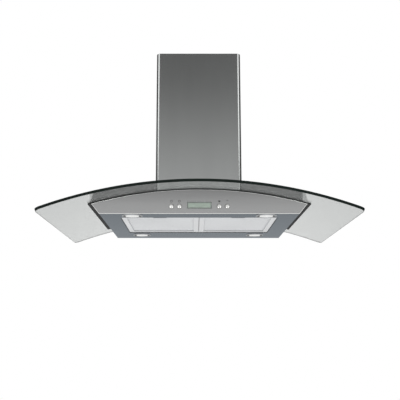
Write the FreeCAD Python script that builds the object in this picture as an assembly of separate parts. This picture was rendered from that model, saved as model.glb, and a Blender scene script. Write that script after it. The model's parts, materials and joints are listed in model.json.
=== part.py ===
import FreeCAD, Part
import math
import os

# Curved glass range hood, in millimetres.
# X runs along the wall, Y points to the wall, Z is up.
# Heights below are above the underside of the bottom panel. When a piece is saved it is
# lowered by WALL_FIX_Z, so the origin is the centre of the four wall screws, on the wall plane.

V = FreeCAD.Vector
UP = V(0, 0, 1)

# ---- driving dimensions ----
# glass canopy
GLASS_WIDTH = 900.0
GLASS_DEPTH = 500.0
GLASS_T = 8.0
GLASS_RISE = 82.5          # height of the arch over its own width
GLASS_TOP_Z = 77.5         # crown of the arch
GLASS_CORNER_R = 15.0
GLASS_OVERHANG = 86.0      # front edge of the glass before the lower edge of the fascia

# steel body under the glass
SHEET = 1.2
BODY_HALF_WIDTH = 287.5    # at the underside
SIDE_SLOPE = 0.79          # outward run of the sides per height
FASCIA_SLOPE = 0.288       # forward lean of the fascia per height
REAR_STEP_Y = 39.0         # the underside steps up this far from the wall
REAR_STEP_Z = 20.0
SEAL_T = 3.5
SEAL_OVERHANG = 6.0        # rubber edge showing beyond the body's sides
SEAL_BAND = 30.0
SEAL_REAR_Y = 66.0
FLANGE_W = 15.0
FLANGE_CLEAR = 1.0         # between the side flanges and the fascia's rim
STUD_SIDE_Y = (330.0, 220.0, 95.0)
STUD_REAR_X = 100.0
STUD_H = 8.0
NUT_T = 3.0
GAP = 0.2                  # between curved faces that rest on each other

# filters
BAY_SIDE_MARGIN = 55.0     # each side of the filter bay to the body's lower edge
BAY_FRONT_MARGIN = 51.0
BAY_REAR_MARGIN = 96.0
FILTER_CLEAR = 1.5         # front, between filter and panel
FILTER_REAR_CLEAR = 2.0
FILTER_SIDE_CLEAR = 1.3
FILTER_MIDDLE_CLEAR = 0.7
FILTER_H = 9.0
FILTER_LIFT = 1.5          # underside of the filters above the underside of the panel
FILTER_RAIL = 15.0         # width of the frame's members
FILTER_RECESS = 4.0        # the mesh lies this far above the frame's face
FILTER_LIP = 8.0           # part of the member that carries the mesh
MESH_T = 2.0
PIN_R = 1.5
PIN_PLAY = 0.06
PIN_INSET = 2.0            # pin axis, in from the filter's rear face and up from its underside
PIN_ROOT = 1.0             # depth of a pin's root in the frame
EAR_OFFSET = 1.0           # hinge ear beyond the edge of the filter bay
EAR_HALF = 5.0
DIVIDER_T = 1.2
DIVIDER_CAP_HALF = 8.0
DIVIDER_FOOT = 9.0
DIVIDER_STEP = 1.0         # foot to the edge of the bay

# filter latches
LATCH_HALF = 20.0
LATCH_LENGTH = 6.0
LATCH_TRAVEL = 3.5
LATCH_H = 3.4
LATCH_TONGUE_HALF = 8.0
LATCH_TONGUE_Z = 1.0       # above the underside of the filter
LATCH_TONGUE_H = 1.8
LATCH_PLAY = 0.2
LATCH_RIB = 2.0            # reach of the side ribs
LATCH_RIB_Z = 1.4
LATCH_RIB_H = 1.4
LATCH_LIP = 2.0
LATCH_TIP_GAP = 0.3        # tongue's tip to the panel, as if drawn back

# lamps
LAMP_SIDE_MARGIN = 92.5    # middle of a lamp to the edge of the underside
LAMP_FRONT_MARGIN = 25.5
LAMP_REAR_MARGIN = 58.0
LAMP_BEZEL = (31.0, 24.5)  # half length and half width of the oval rim
LAMP_LENS = (24.6, 18.6)
LAMP_PROUD = 2.5
LENS_RECESS = 1.0
LAMP_RIM_TAPER = 2.5
LAMP_LIP = 1.6
LAMP_WALL = 0.8
LAMP_COLLAR_H = 6.0
LAMP_LENS_T = 2.8
LAMP_CAN_H = 24.0
LAMP_FLANGE_IN = 1.0       # the can's flange ends this far inside the rim
LAMP_FLANGE_ROOM = 2.0     # space round the rim, free of other flanges
HOLDER_SIZE = (12.0, 14.0, 14.0)
HOLDER_END = 2.0           # holder's end before the middle of the lamp
BULB_R = 4.5
BULB_LENGTH = 13.0

# controls on the fascia, measured up its slope
DISPLAY_W = 68.5
DISPLAY_H = 16.8
DISPLAY_RIM = 1.6
DISPLAY_PROUD = 0.8
DISPLAY_UP = 24.0
DISPLAY_WALL = 1.2
PANE_T = 1.0
LCD_T = 3.5
LCD_RIM = 1.0
BUTTON_X = (-80.0, -57.0, 57.0, 80.0)
BUTTON_NAMES = ("button_power", "button_lamp", "button_minus", "button_plus")
BUTTON_UP = 21.0
BUTTON_R = 5.6
BUTTON_PROUD = 2.0
BUTTON_PLAY = 0.3
BUTTON_TRAVEL = 1.2
BUTTON_FLANGE = 1.5
BUTTON_FLANGE_T = 1.0
BUTTON_STEM_R = 2.2
SWITCH_SIZE = 6.0
SWITCH_H = 3.2
BOARD_DEPTH = 9.0          # front of the circuit board behind the fascia's face
BOARD_T = 1.6
BOARD_HALF = 96.0
BOARD_LOW = 8.0
BOARD_HIGH = 37.0
HOUSING_WALL = 1.5
HOUSING_DEPTH = 15.0
LEDGE_W = 8.0

# air box on the wall, with blower
AIRBOX_HALF = 112.0
AIRBOX_DEPTH = 196.0
AIRBOX_TOP_Z = 310.0
AIRBOX_FLANGE = 20.0
FLANGE_REAR = 5.0          # the side flanges stop short of the wall, clear of the chimney's returns
GASKET_T = 1.5
THROAT_MARGIN = 14.0
WALL_FIX_Z = 220.0
WALL_FIX_X = 160.0         # spacing of the wall screws
WALL_FIX_H = 140.0
WALL_HOLE_R = 4.0
GLASS_CUT_CLEAR = 2.0
GLASS_BOLT_X = 60.0
GLASS_BOLT_Y = (40.0, 150.0)
GLASS_BOLT_OUT = 1.0       # bolts lie this far outside the middle of the flange
SCROLL_X = -22.0
SCROLL_Z = 188.0
SCROLL_R = 66.0            # smallest radius of the scroll
SCROLL_GROWTH = 8.0        # per quarter turn
SCROLL_WALL = 2.0
SCROLL_W = 104.0
SCROLL_OUTLET = 62.0       # width of the outlet
INLET_R = 52.0
WHEEL_R = 60.0
WHEEL_HUB_R = 12.0
WHEEL_RING = 8.0           # radial depth of blades and rings
WHEEL_W = 92.0
WHEEL_PLATE = 2.0
WHEEL_HUB_L = 8.0
BLADES = 36
BLADE_T = 1.0
BLADE_ROOT = 1.0           # depth of the blades in their rings
BLADE_TURN = 30.0          # degrees off the radius
SHAFT_R = 4.0
SHAFT_PLAY = 0.05
MOTOR_R = 38.0
MOTOR_L = 62.0
MOTOR_CAP = 3.0            # closed end of the motor
MOTOR_GAP = 8.0            # motor to the wheel's middle plate
ARM_W = 12.0
ARM_T = 3.0
ARM_FOOT = 6.0
ARM_HUB_R = 19.0
CAPACITOR_R = 14.0
CAPACITOR_L = 50.0
TERMINAL = (90.0, 60.0, 16.0)
TERMINAL_Z = 215.0
TERMINAL_WALL = 1.5
GLAND_X = 88.0
GLAND_BACK = 25.0          # behind the front of the air box
GLAND_R = 8.0
GLAND_BORE_R = 5.0
GLAND_H = 16.0
GLAND_RIM = 3.0
GLAND_RIM_T = 3.0
GLAND_NUT_T = 5.0

# outlet collar and non-return flaps
DUCT_R = 74.5
COLLAR_T = 1.2
COLLAR_H = 50.0
COLLAR_FLANGE = 8.0
FLAP_Z = 24.0              # seat of the flaps above the air box
FLAP_T = 1.0
FLAP_CLEAR = 1.6
SEAT_W = 5.0
SEAT_H = 3.0
SPINDLE_R = 1.5
SPINDLE_SHORT = 0.3        # each end of the spindle inside the collar's face
KNUCKLE_R = 3.0
KNUCKLE_CLEAR = 1.0
KNUCKLES_RIGHT = ((-60.0, -36.0), (6.0, 30.0))
KNUCKLES_LEFT = ((-30.0, -6.0), (36.0, 60.0))

# chimney covers
CHIMNEY_HALF = 140.0
CHIMNEY_DEPTH = 240.0
CHIMNEY_TOP_Z = 590.0
CHIMNEY_T = 1.0
CHIMNEY_R = 12.0
CHIMNEY_CLEAR = 0.8
CHIMNEY_RETURN = 14.0
UPPER_LOW_Z = 92.0
UPPER_DROP = 2.0           # top of the upper cover below the top of the lower one
BAR_T = 2.0
BAR_H = 30.0
BAR_DROP = 82.0            # foot of the wall bar below the top of the cover
BRACKET_DROP = 32.0        # foot of the ceiling bracket below it
BRACKET_H = 24.0
BRACKET_HALF = 118.0
BRACKET_T = 1.5
BRACKET_REACH = 12.0
BAR_HOLE_X = 60.0
BAR_HOLE_R = 3.0
SCREW_R = 2.0
SCREW_HEAD_R = 3.8
SCREW_HEAD_T = 1.4
BOLT_R = 2.5
BOLT_HEAD_R = 4.5
BOLT_HEAD_T = 3.5
GLASS_HOLE_R = 4.5

# ---- derived from the driving dimensions ----
HALF = GLASS_WIDTH / 2
BODY_FRONT = GLASS_DEPTH - GLASS_OVERHANG   # wall to the lower edge of the fascia
ARCH_R = (HALF ** 2 + GLASS_RISE ** 2) / (2 * GLASS_RISE)
ARCH_Z = GLASS_TOP_Z - ARCH_R
BODY_DROP = GLASS_T + SEAL_T
FASCIA_TILT = math.degrees(math.atan(FASCIA_SLOPE))
FASCIA_RUN = math.sqrt(1 + FASCIA_SLOPE ** 2)
SIDE_RUN = math.sqrt(1 + SIDE_SLOPE ** 2)
FILTER_BAY_HALF = BODY_HALF_WIDTH - BAY_SIDE_MARGIN
FILTER_BAY_FRONT = BODY_FRONT - BAY_FRONT_MARGIN
FILTER_BAY_REAR = REAR_STEP_Y + BAY_REAR_MARGIN
FILTER_X0 = DIVIDER_T / 2 + FILTER_MIDDLE_CLEAR
FILTER_X1 = FILTER_BAY_HALF - FILTER_SIDE_CLEAR
FILTER_Y0 = -FILTER_BAY_FRONT + FILTER_CLEAR
FILTER_Y1 = -FILTER_BAY_REAR - FILTER_REAR_CLEAR
FILTER_Z1 = FILTER_LIFT + FILTER_H
FILTER_MID = (FILTER_X0 + FILTER_X1) / 2
PIN_Y = FILTER_Y1 - PIN_INSET
PIN_Z = FILTER_LIFT + PIN_INSET
DUCT_Y = -AIRBOX_DEPTH / 2
LAMP_X = BODY_HALF_WIDTH - LAMP_SIDE_MARGIN
LAMP_FRONT_Y = BODY_FRONT - LAMP_FRONT_MARGIN
LAMP_REAR_Y = REAR_STEP_Y + LAMP_REAR_MARGIN
LAMP_PLACES = {
    "front_left": (-LAMP_X, -LAMP_FRONT_Y),
    "front_right": (LAMP_X, -LAMP_FRONT_Y),
    "rear_left": (-LAMP_X, -LAMP_REAR_Y),
    "rear_right": (LAMP_X, -LAMP_REAR_Y),
}
EAR_X = FILTER_BAY_HALF + EAR_OFFSET
BAR_Z = CHIMNEY_TOP_Z - BAR_DROP
BRACKET_Z = CHIMNEY_TOP_Z - BRACKET_DROP
GLAND_Y = -AIRBOX_DEPTH + GLAND_BACK
OVER = 10.0                # how far a cut runs past a face
FAR = 2 * GLASS_WIDTH      # longer than anything it cuts
BELOW = -5 * OVER          # lower than the hood's body
ABOVE = GLASS_TOP_Z + OVER  # higher than the glass


# ---- helpers ----
def block(x0, x1, y0, y1, z0, z1):
    return Part.makeBox(x1 - x0, y1 - y0, z1 - z0, V(x0, y0, z0))


def rod(radius, length, start, axis=UP):
    return Part.makeCylinder(radius, length, V(*start), axis)


def prism(points, along):
    """Solid of a straight-sided outline moved along a vector."""
    return Part.Face(Part.makePolygon(points + [points[0]])).extrude(along)


def oval(half_x, half_y, centre, z0, z1):
    """Upright solid with an elliptical outline."""
    x, y = centre
    curve = Part.Ellipse(V(x, y, z0), half_x, half_y)
    return Part.Face(Part.Wire(curve.toShape())).extrude(V(0, 0, z1 - z0))


def mirror_x(shape):
    return shape.mirror(V(0, 0, 0), V(1, 0, 0))


def upright_edges(shape):
    return [e for e in shape.Edges if abs(e.tangentAt(e.FirstParameter).z) > 0.99]


def join(shapes):
    return shapes[0].multiFuse(shapes[1:]).removeSplitter()


def group(shapes):
    return Part.makeCompound(shapes)


def save(name, shape):
    lowered = shape.copy()
    lowered.translate(V(0, 0, -WALL_FIX_Z))
    lowered.exportStep("parts/" + name + ".step")


def arch_z(x, drop):
    """Height of the arch that lies `drop` below the glass's upper face."""
    return ARCH_Z + math.sqrt((ARCH_R - drop) ** 2 - x ** 2)


def arch_edge(half, drop, y):
    ends = [V(x, y, arch_z(x, drop)) for x in (-half, 0, half)]
    return Part.Arc(*ends).toShape()


def arch_slab(half, y0, y1, top_drop, low_drop):
    """Curved sheet between two drops below the glass's upper face."""
    left = [V(-half, y0, arch_z(half, drop)) for drop in (low_drop, top_drop)]
    right = [V(half, y0, arch_z(half, drop)) for drop in (top_drop, low_drop)]
    wire = Part.Wire([
        Part.makeLine(*left),
        arch_edge(half, top_drop, y0),
        Part.makeLine(*right),
        arch_edge(half, low_drop, y0),
    ])
    return Part.Face(wire).extrude(V(0, y1 - y0, 0))


def under_arch(half, y0, y1, drop, floor):
    """Everything from a flat floor up to the arch."""
    wire = Part.Wire([
        Part.makeLine(V(half, y0, floor), V(-half, y0, floor)),
        Part.makeLine(V(-half, y0, floor), V(-half, y0, arch_z(half, drop))),
        arch_edge(half, drop, y0),
        Part.makeLine(V(half, y0, arch_z(half, drop)), V(half, y0, floor)),
    ])
    return Part.Face(wire).extrude(V(0, y1 - y0, 0))


def fascia_y(z, depth=0.0):
    """Y of the fascia's face at a height, or of the plane `depth` behind it."""
    return -BODY_FRONT - FASCIA_SLOPE * z + depth * FASCIA_RUN


def on_fascia(shape):
    """Lean a shape modelled on an upright face at y = 0 onto the fascia."""
    placed = shape.copy()
    placed.rotate(V(0, 0, 0), V(1, 0, 0), FASCIA_TILT)
    placed.translate(V(0, -BODY_FRONT, 0))
    return placed


def behind_fascia(depth0, depth1):
    """Slab between two depths behind the fascia's face."""
    low, high = BELOW, ABOVE
    points = [
        V(-FAR / 2, fascia_y(low, depth0), low),
        V(-FAR / 2, fascia_y(high, depth0), high),
        V(-FAR / 2, fascia_y(high, depth1), high),
        V(-FAR / 2, fascia_y(low, depth1), low),
    ]
    return prism(points, V(FAR, 0, 0))


def body_form(inset, floor, front_inset):
    """Outer form of the steel body, drawn in by `inset` behind the fascia, cut flat at `floor`."""
    side = [
        V(-FAR / 2, fascia_y(floor, front_inset), floor),
        V(-FAR / 2, fascia_y(ABOVE, front_inset), ABOVE),
        V(-FAR / 2, -inset, ABOVE),
        V(-FAR / 2, -inset, REAR_STEP_Z + inset),
        V(-FAR / 2, -REAR_STEP_Y - inset, REAR_STEP_Z + inset),
        V(-FAR / 2, -REAR_STEP_Y - inset, floor),
    ]
    low_half = BODY_HALF_WIDTH + SIDE_SLOPE * floor - inset * SIDE_RUN
    high_half = BODY_HALF_WIDTH + SIDE_SLOPE * ABOVE - inset * SIDE_RUN
    front = [
        V(-low_half, -FAR / 2, floor),
        V(low_half, -FAR / 2, floor),
        V(high_half, -FAR / 2, ABOVE),
        V(-high_half, -FAR / 2, ABOVE),
    ]
    form = prism(side, V(FAR, 0, 0)).common(prism(front, V(0, FAR, 0)))
    return form.common(under_arch(HALF, -GLASS_DEPTH, 0, BODY_DROP + inset, floor))


def bolt_places():
    out = AIRBOX_FLANGE / 2 + GLASS_BOLT_OUT
    sides = [(sign * (AIRBOX_HALF + out), -y) for sign in (-1, 1) for y in GLASS_BOLT_Y]
    return sides + [(x, -AIRBOX_DEPTH - out) for x in (-GLASS_BOLT_X, GLASS_BOLT_X)]


def bolt_holes(radius):
    return [rod(radius, FAR, (x, y, BELOW)) for x, y in bolt_places()]


def throat(margin, z0, z1):
    """Air passage from the body up into the air box, at the wall end of the glass."""
    half = AIRBOX_HALF - margin
    return block(-half, half, -AIRBOX_DEPTH + margin, -margin, z0, z1)


# ---- glass and seals ----
def glass_canopy():
    glass = arch_slab(HALF, -GLASS_DEPTH, 0, 0, GLASS_T)
    glass = glass.makeFillet(GLASS_CORNER_R, upright_edges(glass))
    half = AIRBOX_HALF + GLASS_CUT_CLEAR
    notch = block(-half, half, -AIRBOX_DEPTH - GLASS_CUT_CLEAR, OVER, BELOW, ABOVE)
    return glass.cut([notch] + bolt_holes(GLASS_HOLE_R))


def canopy_seal():
    top_half = BODY_HALF_WIDTH + SIDE_SLOPE * arch_z(BODY_HALF_WIDTH, BODY_DROP)
    half = top_half + SEAL_OVERHANG
    low_drop = BODY_DROP - GAP
    band = arch_slab(half, -GLASS_DEPTH, -SEAL_REAR_Y, GLASS_T + GAP, low_drop)
    band = band.cut(behind_fascia(-FAR, 0))
    window = under_arch(top_half - SEAL_BAND, -BODY_FRONT + SEAL_BAND, -SEAL_REAR_Y - SEAL_BAND, 0, BELOW)
    gasket_half = AIRBOX_HALF + AIRBOX_FLANGE + GLASS_CUT_CLEAR
    gasket_room = block(-gasket_half, gasket_half, -AIRBOX_DEPTH - AIRBOX_FLANGE, 0, BELOW, GLASS_TOP_Z)
    return band.cut([window, gasket_room])


def throat_gasket(low_drop, top_drop):
    """Ring between the glass and the sheet above or below it, round the throat."""
    half = AIRBOX_HALF + AIRBOX_FLANGE
    ring = arch_slab(half, -AIRBOX_DEPTH - AIRBOX_FLANGE, -FLANGE_REAR, top_drop + GAP, low_drop - GAP)
    cut = AIRBOX_HALF + GLASS_CUT_CLEAR
    hole = block(-cut, cut, -AIRBOX_DEPTH - GLASS_CUT_CLEAR, OVER, BELOW, ABOVE)
    return ring.cut([hole] + bolt_holes(BOLT_R + GAP))


def throat_gaskets():
    return group([throat_gasket(BODY_DROP, GLASS_T), throat_gasket(0, -GASKET_T)])


def glass_bolts():
    bolts = []
    for x, y in bolt_places():
        head_z = max(arch_z(abs(x) - BOLT_HEAD_R, -GASKET_T - SHEET), arch_z(x, -GASKET_T - SHEET)) + GAP
        nut_top = arch_z(abs(x) + BOLT_HEAD_R, BODY_DROP + SHEET) - GAP
        length = head_z - nut_top + BOLT_HEAD_T
        shank = rod(BOLT_R, length, (x, y, nut_top - BOLT_HEAD_T))
        head = rod(BOLT_HEAD_R, BOLT_HEAD_T, (x, y, head_z))
        nut = rod(BOLT_HEAD_R, BOLT_HEAD_T, (x, y, nut_top - BOLT_HEAD_T))
        bolts.append(join([shank, head, nut]))
    return group(bolts)


# ---- steel body ----
def canopy_body():
    shell = body_form(0, SHEET, SHEET).cut(body_form(SHEET, BELOW, 0))
    low_half = BODY_HALF_WIDTH
    inner_half = low_half - FLANGE_W
    front_y = fascia_y(SHEET, FLANGE_W) + FLANGE_CLEAR
    side_flange = block(inner_half, low_half, front_y, -REAR_STEP_Y - SHEET / 2, SHEET, 2 * SHEET)
    rear_flange = block(-low_half, low_half, -REAR_STEP_Y - FLANGE_W, -REAR_STEP_Y, SHEET, 2 * SHEET)
    shell = join([shell, side_flange, mirror_x(side_flange), rear_flange])
    holes = [rod(SCREW_R + GAP, FLANGE_W, (x, y, 0)) for x, y in stud_places()]
    lamps = [
        oval(*grown(LAMP_BEZEL, LAMP_FLANGE_ROOM), place, SHEET, 3 * SHEET)
        for place in LAMP_PLACES.values()
    ]
    throat_cut = throat(THROAT_MARGIN, REAR_STEP_Z + 2 * SHEET, GLASS_TOP_Z)
    return shell.cut(holes + lamps + bolt_holes(BOLT_R + GAP) + [throat_cut])


def grown(half_sizes, amount):
    return half_sizes[0] + amount, half_sizes[1] + amount


def fascia():
    plate = body_form(0, 0, 0).common(behind_fascia(0, SHEET))
    outer, inner = SHEET + GAP, 2 * SHEET + GAP
    rim = body_form(outer, outer, SHEET / 2).cut(body_form(inner, inner, 0))
    rim = rim.common(behind_fascia(0, FLANGE_W))
    w, h = display_half(0)
    cuts = [on_fascia(block(-w, w, -OVER, OVER, DISPLAY_UP - h, DISPLAY_UP + h))]
    for x in BUTTON_X:
        cuts.append(on_fascia(rod(BUTTON_R + BUTTON_PLAY, 2 * OVER, (x, -OVER, BUTTON_UP), V(0, 1, 0))))
    for name in ("front_left", "front_right"):
        keep_out = grown(LAMP_BEZEL, LAMP_FLANGE_ROOM)
        cuts.append(oval(*keep_out, LAMP_PLACES[name], SHEET, 4 * SHEET).common(behind_fascia(SHEET, FAR)))
    return join([plate, rim]).cut(cuts)


def stud_places():
    x = BODY_HALF_WIDTH - FLANGE_W / 2
    sides = [(sign * x, -y) for sign in (-1, 1) for y in STUD_SIDE_Y]
    rear_y = -REAR_STEP_Y - FLANGE_W / 2 - SHEET
    return sides + [(-STUD_REAR_X, rear_y), (STUD_REAR_X, rear_y)]


def bottom_panel():
    front = fascia_y(0, SHEET) + GAP
    panel = block(-BODY_HALF_WIDTH, BODY_HALF_WIDTH, front, -REAR_STEP_Y, 0, SHEET)
    bay = block(-FILTER_BAY_HALF, FILTER_BAY_HALF, -FILTER_BAY_FRONT, -FILTER_BAY_REAR, BELOW, FILTER_H)
    holes = [
        oval(*grown(LAMP_LENS, LAMP_LIP + LAMP_WALL), place, BELOW, FILTER_H)
        for place in LAMP_PLACES.values()
    ]
    studs = [rod(SCREW_R, STUD_H, (x, y, SHEET / 2)) for x, y in stud_places()]
    return join([panel.cut([bay] + holes)] + studs)


def panel_nuts():
    nuts = []
    for x, y in stud_places():
        nut = rod(SCREW_HEAD_R, NUT_T, (x, y, 2 * SHEET))
        nuts.append(nut.cut(rod(SCREW_R + PIN_PLAY, FAR, (x, y, 0))))
    return group(nuts)


# ---- controls ----
def display_half(rim):
    return DISPLAY_W / 2 + rim, DISPLAY_H / 2 + rim


def display_bezel():
    w, h = display_half(DISPLAY_RIM)
    face = block(-w, w, -DISPLAY_PROUD, 0, DISPLAY_UP - h, DISPLAY_UP + h)
    w, h = display_half(-BUTTON_PLAY)
    collar = block(-w, w, -DISPLAY_PROUD / 2, SHEET + PANE_T, DISPLAY_UP - h, DISPLAY_UP + h)
    w, h = display_half(-BUTTON_PLAY - DISPLAY_WALL)
    window = block(-w, w, -OVER, OVER, DISPLAY_UP - h, DISPLAY_UP + h)
    return on_fascia(join([face, collar]).cut(window))


def display_window():
    w, h = display_half(-BUTTON_PLAY - DISPLAY_WALL - GAP)
    return on_fascia(block(-w, w, 0, PANE_T, DISPLAY_UP - h, DISPLAY_UP + h))


def display_module():
    w, h = display_half(LCD_RIM)
    start = SHEET + PANE_T + GAP
    return on_fascia(block(-w, w, start, start + LCD_T, DISPLAY_UP - h, DISPLAY_UP + h))


def push_button(x):
    """Round cap with a shallow crown, a flange behind the fascia and a stem to its switch."""
    cap = rod(BUTTON_R, BUTTON_PROUD + SHEET + 2 * GAP, (x, -BUTTON_PROUD, BUTTON_UP), V(0, 1, 0))
    rim = [e for e in cap.Edges if e.Length > BUTTON_R and abs(e.CenterOfMass.y + BUTTON_PROUD) < GAP]
    cap = cap.makeFillet(BUTTON_PROUD / 2, rim)
    back = SHEET + GAP
    flange = rod(BUTTON_R + BUTTON_FLANGE, BUTTON_FLANGE_T, (x, back, BUTTON_UP), V(0, 1, 0))
    stem_end = BOARD_DEPTH - SWITCH_H - BUTTON_TRAVEL - GAP
    stem = rod(BUTTON_STEM_R, stem_end - back, (x, back, BUTTON_UP), V(0, 1, 0))
    return on_fascia(join([cap, flange, stem]))


def tact_switches():
    switches = []
    for x in BUTTON_X:
        half = SWITCH_SIZE / 2
        case = block(x - half, x + half, BOARD_DEPTH - SWITCH_H, BOARD_DEPTH,
                     BUTTON_UP - half, BUTTON_UP + half)
        switches.append(on_fascia(case))
    return group(switches)


def control_board():
    back = BOARD_DEPTH + BOARD_T
    return on_fascia(block(-BOARD_HALF, BOARD_HALF, BOARD_DEPTH, back, BOARD_LOW, BOARD_HIGH))


def control_housing():
    """Open tray that carries the board, its rim against the back of the fascia."""
    w = BOARD_HALF + HOUSING_WALL
    low, high = BOARD_LOW - HOUSING_WALL, BOARD_HIGH + HOUSING_WALL
    tray = block(-w, w, SHEET, HOUSING_DEPTH, low, high)
    hollow = block(-BOARD_HALF, BOARD_HALF, 0, HOUSING_DEPTH - HOUSING_WALL, BOARD_LOW, BOARD_HIGH)
    ledge_top = BOARD_DEPTH + BOARD_T
    ledges = [
        block(x, x + LEDGE_W, ledge_top, HOUSING_DEPTH - HOUSING_WALL, BOARD_LOW, BOARD_HIGH)
        for x in (-BOARD_HALF, -LEDGE_W / 2, BOARD_HALF - LEDGE_W)
    ]
    return on_fascia(join([tray.cut(hollow)] + ledges))


# ---- lamps ----
def lamp_bezel(place):
    """Oval rim with a sloping edge, a lip for the lens and a collar through the panel."""
    x, y = place
    outlines = []
    for z, taper in ((0, 0), (-LAMP_PROUD, LAMP_RIM_TAPER)):
        curve = Part.Ellipse(V(x, y, z), LAMP_BEZEL[0] - taper, LAMP_BEZEL[1] - taper)
        outlines.append(Part.Wire(curve.toShape()))
    rim = Part.makeLoft(outlines, True, True)
    collar = oval(*grown(LAMP_LENS, LAMP_LIP), place, -LAMP_PROUD / 2, LAMP_COLLAR_H)
    rebate = oval(*grown(LAMP_LENS, GAP), place, -LAMP_PROUD + LENS_RECESS, OVER)
    mouth = oval(*grown(LAMP_LENS, -LAMP_LIP), place, -OVER, 0)
    return join([rim, collar]).cut([rebate, mouth])


def lamp_lens(place):
    low = -LAMP_PROUD + LENS_RECESS
    return oval(*LAMP_LENS, place, low, low + LAMP_LENS_T)


def lamp_housing(place):
    """Can over the lamp, with a flange on top of the panel."""
    inner = grown(LAMP_LENS, LAMP_LIP + GAP)
    outer = grown(inner, LAMP_WALL)
    flange = oval(*grown(LAMP_BEZEL, -LAMP_FLANGE_IN), place, SHEET, SHEET + LAMP_WALL)
    can = oval(*outer, place, SHEET, LAMP_CAN_H)
    hollow = oval(*inner, place, 0, LAMP_CAN_H - LAMP_WALL)
    return join([flange, can]).cut(hollow)


def lamp_holders():
    holders = []
    length, width, height = HOLDER_SIZE
    for x, y in LAMP_PLACES.values():
        top = LAMP_CAN_H - LAMP_WALL
        end = x - HOLDER_END
        holders.append(block(end - length, end, y - width / 2, y + width / 2, top - height, top))
    return group(holders)


def halogen_bulbs():
    bulbs = []
    z = LAMP_CAN_H - LAMP_WALL - HOLDER_SIZE[2] / 2
    for x, y in LAMP_PLACES.values():
        tube = rod(BULB_R, BULB_LENGTH, (x - HOLDER_END, y, z), V(1, 0, 0))
        tip = Part.makeSphere(BULB_R, V(x - HOLDER_END + BULB_LENGTH, y, z))
        bulbs.append(join([tube, tip]))
    return group(bulbs)


# ---- grease filters, modelled on the right and mirrored ----
def filter_frame():
    frame = block(FILTER_X0, FILTER_X1, FILTER_Y0, FILTER_Y1, FILTER_LIFT, FILTER_Z1)
    inner = filter_window(FILTER_RAIL, BELOW, ABOVE)
    rebate = filter_window(FILTER_RAIL - FILTER_LIP, FILTER_LIFT + FILTER_RECESS, ABOVE)
    frame = frame.cut([inner, rebate] + latch_space())
    pins = []
    for x0, x1 in ((GAP, FILTER_X0 + PIN_ROOT), (FILTER_X1 - PIN_ROOT, EAR_X + SHEET + GAP)):
        pins.append(rod(PIN_R, x1 - x0, (x0, PIN_Y, PIN_Z), V(1, 0, 0)))
    return join([frame] + pins)


def filter_window(margin, z0, z1):
    return block(FILTER_X0 + margin, FILTER_X1 - margin, FILTER_Y0 + margin, FILTER_Y1 - margin, z0, z1)


def filter_mesh():
    low = FILTER_LIFT + FILTER_RECESS
    return filter_window(FILTER_RAIL - FILTER_LIP + GAP, low, low + MESH_T)


def latch_form(play, travel):
    """Slider with side ribs, a tongue to the front and a lip below, grown by `play`."""
    y0 = FILTER_Y0 + LATCH_PLAY + SHEET
    y1 = y0 + LATCH_LENGTH + travel
    low = FILTER_LIFT
    half = LATCH_HALF + play
    body = block(FILTER_MID - half, FILTER_MID + half, y0 - play, y1 + play, low, low + LATCH_H + play)
    half += LATCH_RIB
    z0 = low + LATCH_RIB_Z
    ribs = block(FILTER_MID - half, FILTER_MID + half, y0 - play, y1 + play,
                 z0 - play, z0 + LATCH_RIB_H + play)
    half = LATCH_TONGUE_HALF + play
    z0 = low + LATCH_TONGUE_Z
    tip = -FILTER_BAY_FRONT + LATCH_TIP_GAP
    tongue = block(FILTER_MID - half, FILTER_MID + half, tip, y1, z0 - play, z0 + LATCH_TONGUE_H + play)
    return body, ribs, tongue


def latch_space():
    return [block(FILTER_MID - LATCH_HALF - LATCH_PLAY, FILTER_MID + LATCH_HALF + LATCH_PLAY,
                  FILTER_Y0 + SHEET, FILTER_Y0 + SHEET + LATCH_LENGTH + LATCH_TRAVEL + 3 * LATCH_PLAY,
                  BELOW, FILTER_LIFT + LATCH_H + LATCH_PLAY)] + list(latch_form(LATCH_PLAY, LATCH_TRAVEL))


def filter_latch():
    body, ribs, tongue = latch_form(0, 0)
    y0 = FILTER_Y0 + LATCH_PLAY + SHEET
    half = LATCH_HALF - LATCH_RIB
    lip = block(FILTER_MID - half, FILTER_MID + half, y0, y0 + SHEET,
                FILTER_LIFT - LATCH_LIP, FILTER_LIFT + LATCH_RIB_Z)
    return join([body, ribs, tongue, lip])


def filter_divider():
    """Rail between the filters, with a cap above them and a foot on the panel at each end."""
    front, rear = -FILTER_BAY_FRONT - DIVIDER_FOOT, -FILTER_BAY_REAR + DIVIDER_FOOT
    half = DIVIDER_T / 2
    top = FILTER_Z1 + SHEET
    web = block(-half, half, front, rear, FILTER_LIFT, top)
    cap = block(-DIVIDER_CAP_HALF, DIVIDER_CAP_HALF, front, rear, top, top + SHEET)
    feet = [
        block(-DIVIDER_CAP_HALF, DIVIDER_CAP_HALF, y0, y1, SHEET, top + SHEET)
        for y0, y1 in ((front, -FILTER_BAY_FRONT - DIVIDER_STEP), (-FILTER_BAY_REAR + DIVIDER_STEP, rear))
    ]
    hole = rod(PIN_R + PIN_PLAY, 4 * half, (-2 * half, PIN_Y, PIN_Z), V(1, 0, 0))
    return join([web, cap] + feet).cut(hole)


def filter_hinge_brackets():
    y0, y1 = PIN_Y - EAR_HALF, PIN_Y + EAR_HALF
    ear = block(EAR_X, EAR_X + SHEET, y0, y1, SHEET, FILTER_Z1)
    foot = block(EAR_X, EAR_X + 2 * EAR_HALF, y0, y1, SHEET, 2 * SHEET)
    bore = rod(PIN_R + PIN_PLAY, FAR, (0, PIN_Y, PIN_Z), V(1, 0, 0))
    bracket = join([ear, foot]).cut(bore)
    return group([bracket, mirror_x(bracket)])


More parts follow.
